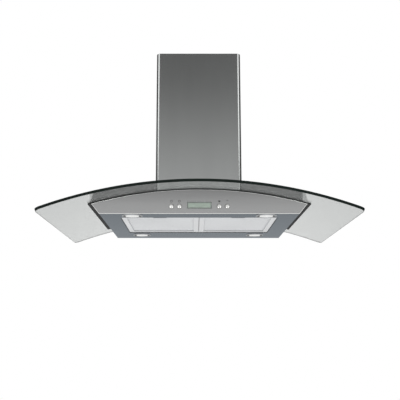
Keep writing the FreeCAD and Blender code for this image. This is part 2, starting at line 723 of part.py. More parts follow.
# ---- air box and blower ----
def air_box():
    outer = block(-AIRBOX_HALF, AIRBOX_HALF, -AIRBOX_DEPTH, 0, 0, AIRBOX_TOP_Z)
    inner = block(-AIRBOX_HALF + SHEET, AIRBOX_HALF - SHEET, -AIRBOX_DEPTH + SHEET, -SHEET,
                  BELOW, AIRBOX_TOP_Z - SHEET)
    walls = outer.cut([inner, under_arch(HALF, -FAR, FAR, -GASKET_T, 2 * BELOW)])
    half = AIRBOX_HALF + AIRBOX_FLANGE
    flange = arch_slab(half, -AIRBOX_DEPTH - AIRBOX_FLANGE, -FLANGE_REAR, -GASKET_T - SHEET, -GASKET_T)
    flange = flange.cut(inner)
    holes = bolt_holes(BOLT_R + GAP)
    for x in (-WALL_FIX_X / 2, WALL_FIX_X / 2):
        for z in (WALL_FIX_Z - WALL_FIX_H / 2, WALL_FIX_Z + WALL_FIX_H / 2):
            holes.append(rod(WALL_HOLE_R, 2 * OVER, (x, -OVER, z), V(0, 1, 0)))
    holes.append(rod(DUCT_R - COLLAR_T, 2 * OVER, (0, DUCT_Y, AIRBOX_TOP_Z - OVER)))
    holes.append(rod(GLAND_R, 2 * OVER, (GLAND_X, GLAND_Y, AIRBOX_TOP_Z - OVER)))
    return join([walls, flange]).cut(holes)


def scroll_outline(offset, top):
    """Scroll of three quarter arcs of growing radius, closed by the outlet going up."""
    step = SCROLL_GROWTH / 2
    centres = [(-step, -step), (step, -step), (step, step)]
    radii = [SCROLL_R + offset + n * SCROLL_GROWTH for n in range(3)]
    edges = []
    for n, (centre, radius) in enumerate(zip(centres, radii)):
        cx, cz = SCROLL_X + centre[0], SCROLL_Z + centre[1]
        points = []
        for angle in (90 + 90 * n, 135 + 90 * n, 180 + 90 * n):
            turn = math.radians(angle)
            points.append(V(cx + radius * math.cos(turn), 0, cz + radius * math.sin(turn)))
        edges.append(Part.Arc(*points).toShape())
        if n == 0:
            start = points[0]
        end = points[2]
    left = end.x - SCROLL_OUTLET - 2 * offset
    corners = [end, V(end.x, 0, top), V(left, 0, top), V(left, 0, start.z), start]
    edges += [Part.makeLine(corners[n], corners[n + 1]) for n in range(4)]
    return Part.Face(Part.Wire(edges))


def volute():
    """Scroll casing with an inlet on both sides and an outlet up to the air box's roof."""
    y0 = DUCT_Y - SCROLL_W / 2
    top = AIRBOX_TOP_Z - SHEET - GAP
    outer = scroll_outline(0, top).extrude(V(0, SCROLL_W, 0))
    inner = scroll_outline(-SCROLL_WALL, top + 1).extrude(V(0, SCROLL_W - 2 * SCROLL_WALL, 0))
    outer.translate(V(0, y0, 0))
    inner.translate(V(0, y0 + SCROLL_WALL, 0))
    inlet = rod(INLET_R, FAR, (SCROLL_X, -FAR / 2, SCROLL_Z), V(0, 1, 0))
    return outer.cut([inner, inlet])


def impeller():
    """Double inlet wheel: a plate in the middle, blades between two rings."""
    y0 = DUCT_Y - WHEEL_W / 2
    axis = V(0, 1, 0)
    pieces = []
    for y in (y0, y0 + WHEEL_W - WHEEL_PLATE):
        ring = rod(WHEEL_R, WHEEL_PLATE, (SCROLL_X, y, SCROLL_Z), axis)
        pieces.append(ring.cut(rod(WHEEL_R - WHEEL_RING, FAR, (SCROLL_X, -FAR / 2, SCROLL_Z), axis)))
    pieces.append(rod(WHEEL_R, WHEEL_PLATE, (SCROLL_X, DUCT_Y - WHEEL_PLATE / 2, SCROLL_Z), axis))
    pieces.append(rod(WHEEL_HUB_R, WHEEL_HUB_L, (SCROLL_X, DUCT_Y, SCROLL_Z), axis))
    root = BLADE_ROOT
    for n in range(BLADES):
        blade = block(WHEEL_R - WHEEL_RING + root, WHEEL_R - root, y0 + root, y0 + WHEEL_W - root,
                      -BLADE_T / 2, BLADE_T / 2)
        blade.rotate(V(WHEEL_R - WHEEL_RING / 2, 0, 0), axis, BLADE_TURN)
        blade.rotate(V(0, 0, 0), axis, n * 360 / BLADES)
        blade.translate(V(SCROLL_X, 0, SCROLL_Z))
        pieces.append(blade)
    wheel = pieces[0].multiFuse(pieces[1:])
    return wheel.cut(rod(SHAFT_R, FAR, (SCROLL_X, -FAR / 2, SCROLL_Z), axis))


def motor_face():
    """Y of the motor's end that faces the wheel's middle plate."""
    return DUCT_Y - MOTOR_GAP


def motor():
    axis = V(0, 1, 0)
    can = rod(MOTOR_R, MOTOR_L, (SCROLL_X, motor_face() - MOTOR_L, SCROLL_Z), axis)
    bore = rod(SHAFT_R + SHAFT_PLAY, MOTOR_L, (SCROLL_X, motor_face() - MOTOR_L + MOTOR_CAP, SCROLL_Z), axis)
    return can.cut(bore)


def motor_shaft():
    start = motor_face() - MOTOR_L + 2 * MOTOR_CAP
    return rod(SHAFT_R, DUCT_Y + WHEEL_HUB_L - start, (SCROLL_X, start, SCROLL_Z), V(0, 1, 0))


def motor_bracket():
    """Three arms from a plate behind the motor to pads on the casing's front cheek."""
    cheek = DUCT_Y - SCROLL_W / 2
    back = motor_face() - MOTOR_L
    reach = SCROLL_R - SCROLL_WALL
    pieces = [rod(ARM_HUB_R, ARM_T, (SCROLL_X, back - ARM_T, SCROLL_Z), V(0, 1, 0))]
    for turn in (90, 210, 330):
        arm = block(0, reach, back - ARM_T, back, -ARM_W / 2, ARM_W / 2)
        leg = block(reach - ARM_FOOT, reach, back - ARM_T, cheek, -ARM_W / 2, ARM_W / 2)
        spoke = arm.fuse(leg)
        spoke.rotate(V(0, 0, 0), V(0, 1, 0), turn)
        spoke.translate(V(SCROLL_X, 0, SCROLL_Z))
        pieces.append(spoke)
    return join(pieces)


def capacitor():
    x = AIRBOX_HALF - SHEET - CAPACITOR_R - GAP
    return rod(CAPACITOR_R, CAPACITOR_L, (x, DUCT_Y - CAPACITOR_L / 2, SCROLL_Z), V(0, 1, 0))


def terminal_box():
    width, height, depth = TERMINAL
    y1 = -AIRBOX_DEPTH
    outer = block(-width / 2, width / 2, y1 - depth, y1, TERMINAL_Z, TERMINAL_Z + height)
    wall = TERMINAL_WALL
    inner = block(-width / 2 + wall, width / 2 - wall, y1 - depth - OVER, y1 - wall,
                  TERMINAL_Z + wall, TERMINAL_Z + height - wall)
    return outer.cut(inner)


def terminal_lid():
    width, height, depth = TERMINAL
    y1 = -AIRBOX_DEPTH - depth
    return block(-width / 2, width / 2, y1 - TERMINAL_WALL, y1, TERMINAL_Z, TERMINAL_Z + height)


def cable_gland():
    """Hollow gland through the air box's roof, with a nut outside and a flange inside."""
    low = AIRBOX_TOP_Z - SHEET - GLAND_RIM_T
    body = rod(GLAND_R - GAP, GLAND_H, (GLAND_X, GLAND_Y, low))
    flange = rod(GLAND_R + GLAND_RIM, GLAND_RIM_T, (GLAND_X, GLAND_Y, low))
    nut = rod(GLAND_R + GLAND_RIM, GLAND_NUT_T, (GLAND_X, GLAND_Y, AIRBOX_TOP_Z))
    return join([body, flange, nut]).cut(rod(GLAND_BORE_R, FAR, (GLAND_X, GLAND_Y, 0)))


# ---- outlet collar and flaps ----
def outlet_collar():
    inner_r = DUCT_R - COLLAR_T
    tube = rod(DUCT_R, COLLAR_H, (0, DUCT_Y, AIRBOX_TOP_Z))
    flange = rod(DUCT_R + COLLAR_FLANGE, COLLAR_T, (0, DUCT_Y, AIRBOX_TOP_Z))
    outer = tube.fuse(flange).cut(rod(inner_r, FAR, (0, DUCT_Y, 0)))
    seat_z = AIRBOX_TOP_Z + FLAP_Z - SEAT_H - GAP
    seat = rod(inner_r + COLLAR_T / 2, SEAT_H, (0, DUCT_Y, seat_z))
    seat = seat.cut(rod(inner_r - SEAT_W, FAR, (0, DUCT_Y, 0)))
    spindle_z = AIRBOX_TOP_Z + FLAP_Z + FLAP_T / 2
    axis = V(0, 1, 0)
    bore = rod(SPINDLE_R, FAR, (0, -FAR / 2, spindle_z), axis)
    half = inner_r - FLAP_CLEAR
    room = rod(KNUCKLE_R + KNUCKLE_CLEAR, 2 * half, (0, DUCT_Y - half, spindle_z), axis)
    return join([outer, seat]).cut([bore, room])


def damper_spindle():
    length = 2 * (DUCT_R - SPINDLE_SHORT)
    z = AIRBOX_TOP_Z + FLAP_Z + FLAP_T / 2
    return rod(SPINDLE_R, length, (0, DUCT_Y - length / 2, z), V(0, 1, 0))


def damper_flap(knuckles):
    """Half round flap on the right, with knuckles over the given stretches of the spindle."""
    z0 = AIRBOX_TOP_Z + FLAP_Z
    z_axis = z0 + FLAP_T / 2
    radius = DUCT_R - COLLAR_T - FLAP_CLEAR
    plate = rod(radius, FLAP_T, (0, DUCT_Y, z0))
    plate = plate.cut(block(-FAR, KNUCKLE_R + GAP, -FAR, FAR, 0, FAR))
    pieces = [plate]
    for y0, y1 in knuckles:
        pieces.append(rod(KNUCKLE_R, y1 - y0, (0, DUCT_Y + y0, z_axis), V(0, 1, 0)))
        pieces.append(block(SPINDLE_R, KNUCKLE_R + KNUCKLE_CLEAR, DUCT_Y + y0, DUCT_Y + y1, z0, z0 + FLAP_T))
    bore = rod(SPINDLE_R + SHAFT_PLAY, FAR, (0, -FAR / 2, z_axis), V(0, 1, 0))
    return join(pieces).cut(bore)


def damper_flap_right():
    return damper_flap(KNUCKLES_RIGHT)


def damper_flap_left():
    return mirror_x(damper_flap(KNUCKLES_LEFT))


# ---- chimney covers ----
def chimney_form(inset, z0, z1):
    """Upright block with rounded front corners, drawn in by `inset`."""
    half = CHIMNEY_HALF - inset
    form = block(-half, half, -CHIMNEY_DEPTH + inset, OVER, z0, z1)
    front = [e for e in upright_edges(form) if e.CenterOfMass.y < 0]
    return form.makeFillet(CHIMNEY_R - inset, front)


def chimney_cover(inset, back, z0, z1):
    """Folded cover, open at the wall but for a return along each rear edge."""
    wall = chimney_form(inset, z0, z1).cut(chimney_form(inset + CHIMNEY_T, z0 - OVER, z1 + OVER))
    wall = wall.cut(block(-FAR, FAR, -back, FAR, BELOW, FAR))
    outer = CHIMNEY_HALF - inset - CHIMNEY_T / 2
    fold = block(outer - CHIMNEY_RETURN, outer, -back - CHIMNEY_T, -back, z0, z1)
    return join([wall, fold, mirror_x(fold)])


def lower_chimney():
    cover = chimney_cover(0, BAR_T + GAP, 0, CHIMNEY_TOP_Z)
    cover = cover.cut(under_arch(HALF, -FAR, FAR, -GAP, 2 * BELOW))
    return cover.cut(chimney_screw_holes())


def screw_places():
    x = CHIMNEY_HALF - CHIMNEY_T - CHIMNEY_RETURN / 2
    return [(sign * x, BAR_Z + BAR_H / 2) for sign in (-1, 1)]


def chimney_screw_holes():
    return [rod(SCREW_R + PIN_PLAY, 2 * OVER, (x, -OVER, z), V(0, 1, 0)) for x, z in screw_places()]


def chimney_screws():
    screws = []
    face = -BAR_T - GAP - CHIMNEY_T
    for x, z in screw_places():
        head = rod(SCREW_HEAD_R, SCREW_HEAD_T, (x, face - SCREW_HEAD_T, z), V(0, 1, 0))
        shank = rod(SCREW_R, -face - GAP, (x, face, z), V(0, 1, 0))
        screws.append(join([head, shank]))
    return group(screws)


def wall_holes(z):
    return [rod(BAR_HOLE_R, 2 * OVER, (x, -OVER, z), V(0, 1, 0)) for x in (-BAR_HOLE_X, BAR_HOLE_X)]


def chimney_wall_bar():
    half = CHIMNEY_HALF - 2 * CHIMNEY_T
    bar = block(-half, half, -BAR_T, 0, BAR_Z, BAR_Z + BAR_H)
    return bar.cut(wall_holes(BAR_Z + BAR_H / 2) + chimney_screw_holes())


def upper_inset():
    return CHIMNEY_T + CHIMNEY_CLEAR


def upper_chimney():
    back = BAR_T + GAP + CHIMNEY_T + SCREW_HEAD_T + CHIMNEY_CLEAR
    return chimney_cover(upper_inset(), back, UPPER_LOW_Z, CHIMNEY_TOP_Z - UPPER_DROP)


def ceiling_bracket():
    """Folded strap that ties the upper cover to the wall under the ceiling."""
    inner = CHIMNEY_HALF - upper_inset() - CHIMNEY_T - GAP / 2
    t = BRACKET_T
    z0, z1 = BRACKET_Z, BRACKET_Z + BRACKET_H
    strap = block(-BRACKET_HALF, BRACKET_HALF, -t, 0, z0, z1)
    arm = block(BRACKET_HALF - t, BRACKET_HALF, -BRACKET_REACH, 0, z0, z1)
    shoulder = block(BRACKET_HALF - t, inner, -BRACKET_REACH - t, -BRACKET_REACH, z0, z1)
    tab = block(inner - t, inner, -2 * BRACKET_REACH - t, -BRACKET_REACH, z0, z1)
    right = [arm, shoulder, tab]
    bracket = join([strap] + right + [mirror_x(piece) for piece in right])
    return bracket.cut(wall_holes((z0 + z1) / 2))


def main():
    os.makedirs("parts", exist_ok=True)
    single = [
        glass_canopy, canopy_seal, throat_gaskets, glass_bolts, canopy_body, fascia, bottom_panel,
        panel_nuts, display_bezel, display_window, display_module, tact_switches, control_board,
        control_housing, lamp_holders, halogen_bulbs, filter_divider, filter_hinge_brackets,
        air_box, volute, impeller, motor, motor_shaft, motor_bracket, capacitor, terminal_box,
        terminal_lid, cable_gland, outlet_collar, damper_spindle, damper_flap_left,
        damper_flap_right, lower_chimney, chimney_screws, chimney_wall_bar, upper_chimney,
        ceiling_bracket,
    ]
    for make in single:
        save(make.__name__, make())
    for name, x in zip(BUTTON_NAMES, BUTTON_X):
        save(name, push_button(x))
    for make in (lamp_bezel, lamp_lens, lamp_housing):
        for corner, place in LAMP_PLACES.items():
            save(make.__name__ + "_" + corner, make(place))
    for make in (filter_frame, filter_mesh, filter_latch):
        save(make.__name__ + "_right", make())
        save(make.__name__ + "_left", mirror_x(make()))


main()
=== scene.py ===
import json
import math
import random

import bmesh
import bpy
from bpy.props import FloatProperty, FloatVectorProperty, IntProperty
from mathutils import Matrix, Vector


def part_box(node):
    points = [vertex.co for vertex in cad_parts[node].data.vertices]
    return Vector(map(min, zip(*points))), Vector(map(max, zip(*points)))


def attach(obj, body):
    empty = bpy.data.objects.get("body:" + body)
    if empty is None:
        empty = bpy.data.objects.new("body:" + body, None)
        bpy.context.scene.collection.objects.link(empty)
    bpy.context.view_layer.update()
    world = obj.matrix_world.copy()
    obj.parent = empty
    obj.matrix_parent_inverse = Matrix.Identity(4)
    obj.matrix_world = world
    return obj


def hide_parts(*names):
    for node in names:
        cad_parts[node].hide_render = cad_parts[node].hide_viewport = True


bl_info = {
    "name": "Curved glass range hood",
    "version": (1, 0, 0),
    "blender": (4, 5, 0),
    "location": "3D View > Sidebar > Hood",
    "description": "Builds the visible pieces of a wall hood with an arched glass canopy",
    "category": "Object",
}

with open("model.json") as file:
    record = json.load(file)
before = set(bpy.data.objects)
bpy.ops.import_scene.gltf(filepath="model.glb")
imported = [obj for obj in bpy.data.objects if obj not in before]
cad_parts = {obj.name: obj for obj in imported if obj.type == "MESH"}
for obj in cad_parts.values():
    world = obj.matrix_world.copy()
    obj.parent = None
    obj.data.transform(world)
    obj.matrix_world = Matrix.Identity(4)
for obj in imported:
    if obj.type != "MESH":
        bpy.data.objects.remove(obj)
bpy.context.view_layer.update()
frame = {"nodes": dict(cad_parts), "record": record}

# Metres. Zero lies on the wall, midway between the four screws of the air box. X runs along the
# wall, Y points to the wall, Z is up. Heights called `up` are above the underside of the steel
# body, which is at UNDERSIDE.
UNDERSIDE = -0.220
GLASS_LOW, GLASS_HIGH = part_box("glass_canopy")
GLASS_HALF = GLASS_HIGH[0]
GLASS_FRONT = GLASS_LOW[1]
GLASS_RISE = 0.0825
GLASS_CROWN = UNDERSIDE + 0.0775
ARCH_R = (GLASS_HALF ** 2 + GLASS_RISE ** 2) / (2 * GLASS_RISE)
ARCH_Z = GLASS_CROWN - ARCH_R
BODY_FRONT = -0.414
LEAN = 0.288
TILT = math.atan(LEAN)
BODY_HALF = 0.2875
SIDE_LEAN = 0.79
BODY_DROP = 0.0115
CHIMNEY_TOP = UNDERSIDE + 0.590
LAMPS = {
    "front_left": (-0.195, -0.3885),
    "front_right": (0.195, -0.3885),
    "rear_left": (-0.195, -0.097),
    "rear_right": (0.195, -0.097),
}
BUTTONS = {
    "button_power": -0.080, "button_lamp": -0.057, "button_minus": 0.057, "button_plus": 0.080,
}
BUTTON_UP = 0.021
MARK_UP = 0.0355
MARK_LOW, MARK_HIGH = 0.00005, 0.00012    # proud of the fascia
RING_MARKS = {                            # outer and inner radius
    "button_power": (0.0036, 0.0024),
    "button_lamp": (0.0036, 0.0024),
    "button_plus": (0.0034, 0.0024),
}
DOT_MARK = 0.0032

NOTCH_HALF = 0.114        # cut in the glass's rear edge for the air box
NOTCH_FRONT = -0.198
ARCH_STEPS = 60

COVER_HALF = 0.140        # chimney covers, outside
COVER_FRONT = -0.240
COVER_CORNER = 0.012
COVER_SHEET = 0.001
COVER_RETURN = 0.0135
LOWER_FOOT = UNDERSIDE + 0.040
FOOT_CLEARANCE = 0.0002   # above the glass
LOWER_REAR = -0.0022
UPPER_FOOT = UNDERSIDE + 0.092
UPPER_TOP = CHIMNEY_TOP - 0.002
UPPER_REAR = -0.0054
UPPER_INSET = 0.0018      # the upper cover slides this far inside the lower one

OPENING_RATIO = 0.72      # depth to width of one opening of the expanded metal
LATTICE_Z = UNDERSIDE + 0.0057
LAYER_RISE = 0.0011
FOIL_RISE = 0.0012
FOIL_CRUMPLE = 0.0009
FOIL_SHEET = 0.0002
FOIL_CELLS = (70, 62)

# Rings from which round pieces are drawn: half length, half width, height.
BUTTON_RINGS = (
    (0.0022, 0.0022, -0.0055), (0.0022, 0.0022, -0.0024), (0.0071, 0.0071, -0.0024),
    (0.0071, 0.0071, -0.0014), (0.0056, 0.0056, -0.0014), (0.0056, 0.0056, 0.0011),
    (0.0055, 0.0055, 0.0014), (0.0053, 0.0053, 0.0016), (0.0049, 0.0049, 0.0015),
    (0.0040, 0.0040, 0.0010), (0.0026, 0.0026, 0.0002), (0.0008, 0.0008, -0.0007),
)
DISH_R, DISH_LOW = 0.0052, -0.001
RIM_RINGS = (
    (0.0262, 0.0202, 0.0058), (0.0262, 0.0202, 0.0002), (0.0308, 0.0243, 0.0),
    (0.0310, 0.0245, -0.0003), (0.0303, 0.0238, -0.0012), (0.0292, 0.0227, -0.0020),
    (0.0280, 0.0215, -0.0024), (0.0266, 0.0201, -0.0025), (0.0252, 0.0188, -0.0023),
    (0.0240, 0.0177, -0.0015), (0.0234, 0.0172, 0.0), (0.0247, 0.0187, 0.0001),
    (0.0247, 0.0187, 0.0058), (0.0262, 0.0202, 0.0058),
)
LENS_RINGS = (
    (0.0246, 0.0186, 0.0013), (0.0246, 0.0186, -0.0007), (0.0232, 0.0172, -0.0013),
    (0.0205, 0.0148, -0.0017), (0.0160, 0.0112, -0.0020), (0.0100, 0.0069, -0.0022),
    (0.0040, 0.0027, -0.0023),
)
# dark clips over the lens's ends; their dark colour stands in for the shade in the recess between
# lens and rim
SHADE_CLIP_RINGS = ((0.0036, 0.0122, -0.0008), (0.0036, 0.0122, -0.0025), (0.0030, 0.0114, -0.0030))
SHADE_CLIP_OUT = 0.0226         # from the lamp's middle to a dark clip, whose dark colour paints the shade at the lens's end

# The stage. Tones are pairs of height and share of the card's glow.
UPRIGHT = math.radians(90)
FLOOR_R = 3.2
FLOOR_PLACE = (0, -0.4, -1.6)
FLOOR_GLOW = 0.35
FRONT_TONES = (
    (-1.30, 0.72), (-1.16, 0.60), (-0.96, 0.188), (-0.2, 0.312), (0.7, 0.72), (1.9, 0.188),
    (3.4, 0.125),
)
LAMP_SIZE = 1.6
LAMP_POWER = 22.0
LAMP_AIM = (0, -0.25, -0.1)
CAMERA_PLACE = (-0.0160, -1.8679, -0.5653)
CAMERA_TILT = math.radians(90 + 7.829)
CAMERA_LENS = 46.75
CAMERA_SENSOR = 36.0
CAMERA_SHIFT = (0.0156, 0.16)


def arch(x, drop=0.0):
    """Height of the arch that lies `drop` below the glass's upper face."""
    return ARCH_Z + math.sqrt((ARCH_R - drop) ** 2 - x * x)


def on_fascia(across, up):
    """Point on the leaning front, `up` its slope."""
    return Vector((across, BODY_FRONT - up * math.sin(TILT), UNDERSIDE + up * math.cos(TILT)))


# ---- sizes and colours that a user would change ----
class GlassLook(bpy.types.PropertyGroup):
    thickness: FloatProperty(
        name="Thickness", description="Thickness of the glass",
        default=0.008, min=0.004, max=0.012, unit="LENGTH")
    corner: FloatProperty(
        name="Corner radius", description="Radius of the glass's corners",
        default=0.015, min=0.002, max=0.05, unit="LENGTH")
    edge: FloatProperty(
        name="Edge polish", description="Width of the polished bevel along the edges",
        default=0.0009, min=0.0002, max=0.003, unit="LENGTH")
    tint: FloatVectorProperty(
        name="Glass tint", description="Colour of the glass seen through its faces",
        default=(0.955, 0.985, 0.97), subtype="COLOR", size=3, min=0, max=1)
    rim: FloatVectorProperty(
        name="Edge colour", description="Colour of the glass seen along its edges",
        default=(0.005, 0.010, 0.008), subtype="COLOR", size=3, min=0, max=1)


class SteelLook(bpy.types.PropertyGroup):
    steel: FloatVectorProperty(
        name="Stainless steel", description="Colour of the brushed sheet metal",
        default=(0.245, 0.247, 0.247), subtype="COLOR", size=3, min=0, max=1)
    # darker than the fascia steel, though the same stainless: painted shade on the downward-facing
    # panel; the bluish tint is its own colour
    underside: FloatVectorProperty(
        name="Underside steel", description="Colour of the panel round the filters",
        default=(0.106, 0.111, 0.113), subtype="COLOR", size=3, min=0, max=1)
    cover: FloatVectorProperty(
        name="Chimney steel", description="Colour of the chimney covers",
        default=(0.188, 0.193, 0.191), subtype="COLOR", size=3, min=0, max=1)
    sheen: FloatProperty(
        name="Roughness", description="Roughness of the brushed sheet metal",
        default=0.23, min=0.05, max=0.9, subtype="FACTOR")
    fold: FloatProperty(
        name="Fold radius", description="Outer radius of the fascia's folded edges",
        default=0.0011, min=0.0002, max=0.0011, unit="LENGTH")


class FilterLook(bpy.types.PropertyGroup):
    pitch: FloatProperty(
        name="Mesh pitch", description="Width of one opening of the expanded metal",
        default=0.0062, min=0.003, max=0.02, unit="LENGTH")
    strand: FloatProperty(
        name="Strand", description="Thickness of the expanded metal's strands",
        default=0.0013, min=0.0003, max=0.003, unit="LENGTH")
    layers: IntProperty(
        name="Layers", description="Layers of expanded metal in each filter",
        default=1, min=1, max=4)
    metal: FloatVectorProperty(
        name="Aluminium", description="Colour of the filters",
        default=(0.66, 0.67, 0.68), subtype="COLOR", size=3, min=0, max=1)


class StageLook(bpy.types.PropertyGroup):
    level: FloatProperty(
        name="Room light", description="Strength of the even light from the room",
        default=0.55, min=0.0, max=2.0)
    floor: FloatVectorProperty(
        name="Floor", description="Colour of the floor",
        default=(0.90, 0.90, 0.90), subtype="COLOR", size=3, min=0, max=1)


# ---- modelling helpers ----
MODES = {"faces": "FACE", "edges": "EDGE"}


def let_go():
    """Leave edit mode with nothing selected."""
    if bpy.context.mode != "OBJECT":
        bpy.ops.object.mode_set(mode="OBJECT")
    bpy.ops.object.select_all(action="DESELECT")


def focus(*pieces):
    """Make these the only selected objects, the first one active."""
    let_go()
    for piece in pieces:
        piece.select_set(True)
    bpy.context.view_layer.objects.active = pieces[0]


def primitive(kind, name, **settings):
    let_go()
    getattr(bpy.ops.mesh, "primitive_%s_add" % kind)(**settings)
    piece = bpy.context.object
    piece.name = piece.data.name = name
    return piece


def freeze(piece):
    """Write a piece's place, turn and size into its mesh."""
    focus(piece)
    bpy.ops.object.transform_apply(location=True, rotation=True, scale=True)


def edit(piece):
    focus(piece)
    bpy.ops.object.mode_set(mode="EDIT")


def pick(kind, test):
    """Select what passes a test in the mesh being edited."""
    mesh = bpy.context.edit_object.data
    bpy.ops.mesh.select_mode(type=MODES[kind])
    bpy.ops.mesh.select_all(action="DESELECT")
    form = bmesh.from_edit_mesh(mesh)
    chosen = [part for part in getattr(form, kind) if test(part)]
    if not chosen:
        raise RuntimeError("%s: nothing to select" % bpy.context.edit_object.name)
    for part in chosen:
        part.select_set(True)
    form.select_flush_mode()
    bmesh.update_edit_mesh(mesh)


def middle(edge):
    return (edge.verts[0].co + edge.verts[1].co) / 2


def run_of(edge):
    return (edge.verts[1].co - edge.verts[0].co).normalized()


def centre(face):
    return face.calc_center_median()


def take_second_finish():
    """Give the selected faces the piece's second material, then leave edit mode."""
    bpy.context.edit_object.active_material_index = 1
    bpy.ops.object.material_slot_assign()
    bpy.ops.object.mode_set(mode="OBJECT")


def cut(axis, place, sign=1, **settings):
    """Cut the whole mesh being edited across an axis, `sign` telling which side is outer."""
    spot, normal = Vector((0, 0, 0)), Vector((0, 0, 0))
    spot[axis], normal[axis] = place, sign
    bpy.ops.mesh.select_all(action="SELECT")
    bpy.ops.mesh.bisect(plane_co=spot, plane_no=normal, **settings)


def slice_at(axis, places):
    """Cut the whole mesh being edited across an axis at several places."""
    for place in places:
        cut(axis, place)


def steps(low, high, count):
    return [low + (high - low) * n / count for n in range(count + 1)]


def modify(piece, kind, **settings):
    focus(piece)
    modifier = piece.modifiers.new(kind.title(), kind)
    for key, value in settings.items():
        setattr(modifier, key, value)
    bpy.ops.object.modifier_apply(modifier=modifier.name)


def settle(piece, slot, *materials, body="root", stands_for=(), smooth=35.0):
    """Leave a piece at the origin with its finish, its body and the nodes it stands for."""
    freeze(piece)
    bpy.ops.object.shade_smooth_by_angle(angle=math.radians(smooth))
    modify(piece, "WEIGHTED_NORMAL", keep_sharp=True)
    if not piece.data.materials:
        for material in materials:
            piece.data.materials.append(material)
    if stands_for:
        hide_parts(*stands_for)
    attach(piece, body)
    return piece


def copy_of(piece, name, offset=(0, 0, 0), mirrored=False):
    """A copy with a mesh of its own, moved, and mirrored across the middle where asked."""
    twin = piece.copy()
    twin.data = piece.data.copy()
    twin.name = twin.data.name = name
    twin.parent = None
    bpy.context.collection.objects.link(twin)
    matrix = Matrix.Translation(Vector(offset))
    if mirrored:
        matrix = matrix @ Matrix.Scale(-1, 4, Vector((1, 0, 0)))
    twin.data.transform(matrix)
    if mirrored:
        twin.data.flip_normals()
    return twin


def traced(node, name):
    """A welded copy of a node's mesh, with its flat faces whole again."""
    source = frame["nodes"][node]
    piece = bpy.data.objects.new(name, source.data.copy())
    bpy.context.collection.objects.link(piece)
    piece.data.materials.clear()
    edit(piece)
    bpy.ops.mesh.select_all(action="SELECT")
    bpy.ops.mesh.remove_doubles(threshold=1e-6)
    bpy.ops.mesh.dissolve_limited(angle_limit=math.radians(0.6))
    bpy.ops.object.mode_set(mode="OBJECT")
    return piece


def dressed(node, name, slot, material, body="root", round_off=0.0004):
    """A node's own form with its sharp edges taken off."""
    piece = traced(node, name)
    modify(piece, "BEVEL", width=round_off, segments=2, limit_method="ANGLE",
           angle_limit=math.radians(35), use_clamp_overlap=True, miter_outer="MITER_ARC")
    return settle(piece, slot, material, body=body, stands_for=[node])


def ring(name, profile, segments=64, capped=False):
    """Rings of an oval joined in order, welded where they meet again or closed at both ends.

    Each entry is half length, half width, height.
    """
    first = profile[0]
    piece = primitive("circle", name, vertices=segments, radius=1.0, fill_type="NOTHING",
                      location=(0, 0, first[2]))
    edit(piece)
    bpy.ops.mesh.select_all(action="SELECT")
    bpy.ops.transform.resize(value=(first[0], first[1], 1), center_override=(0, 0, first[2]))
    for last, step in zip(profile, profile[1:]):
        bpy.ops.mesh.extrude_edges_move()
        bpy.ops.transform.resize(value=(step[0] / last[0], step[1] / last[1], 1),
                                 center_override=(0, 0, last[2]))
        bpy.ops.transform.translate(value=(0, 0, step[2] - last[2]))
    bpy.ops.mesh.select_all(action="SELECT")
    bpy.ops.mesh.remove_doubles(threshold=1e-6)
    if capped:
        bpy.ops.mesh.select_all(action="SELECT")
        bpy.ops.mesh.fill_holes(sides=0)
    bpy.ops.mesh.select_all(action="SELECT")
    bpy.ops.mesh.normals_make_consistent(inside=False)
    bpy.ops.object.mode_set(mode="OBJECT")
    return piece


# ---- finishes ----
def put(tree, kind, inputs=None, **settings):
    node = tree.nodes.new("ShaderNode" + kind)
    for key, value in settings.items():
        setattr(node, key, value)
    for key, value in (inputs or {}).items():
        if isinstance(value, bpy.types.NodeSocket):
            tree.links.new(value, node.inputs[key])
        else:
            node.inputs[key].default_value = value
    return node


def feed(tree, node, socket, value):
    tree.links.new(value, node.inputs[socket])


def finish(name, colour, roughness, metallic=0.0, **sockets):
    material = bpy.data.materials.new(name)
    material.use_nodes = True
    tree = material.node_tree
    surface = tree.nodes["Principled BSDF"]
    surface.inputs["Base Color"].default_value = (*colour, 1.0)
    surface.inputs["Roughness"].default_value = roughness
    surface.inputs["Metallic"].default_value = metallic
    for key, value in sockets.items():
        surface.inputs[key.replace("_", " ")].default_value = value
    return material, tree, surface


def placed(tree, scale=(1, 1, 1)):
    """The object's own coordinates, stretched for a pattern."""
    place = put(tree, "TexCoord")
    return put(tree, "Mapping", {"Vector": place.outputs["Object"], "Scale": scale}).outputs[0]


def noise(tree, vector, scale=1.0, detail=3.0, rough=0.5):
    return put(tree, "TexNoise", {"Vector": vector, "Scale": scale, "Detail": detail,
                                  "Roughness": rough}).outputs["Fac"]


def remap(tree, value, low, high, source=(0.3, 0.7)):
    return put(tree, "MapRange", {"Value": value, "From Min": source[0], "From Max": source[1],
                                  "To Min": low, "To Max": high}).outputs[0]


def tinted(tree, factor, low, high):
    mix = put(tree, "Mix", data_type="RGBA")
    tree.links.new(factor, mix.inputs[0])
    mix.inputs[6].default_value = (*low, 1.0)
    mix.inputs[7].default_value = (*high, 1.0)
    return mix.outputs[2]


def shade(colour, factor):
    return tuple(min(1.0, channel * factor) for channel in colour)


def bumped(tree, surface, height, strength, distance=0.0002):
    bump = put(tree, "Bump", {"Height": height, "Strength": strength, "Distance": distance})
    feed(tree, surface, "Normal", bump.outputs[0])


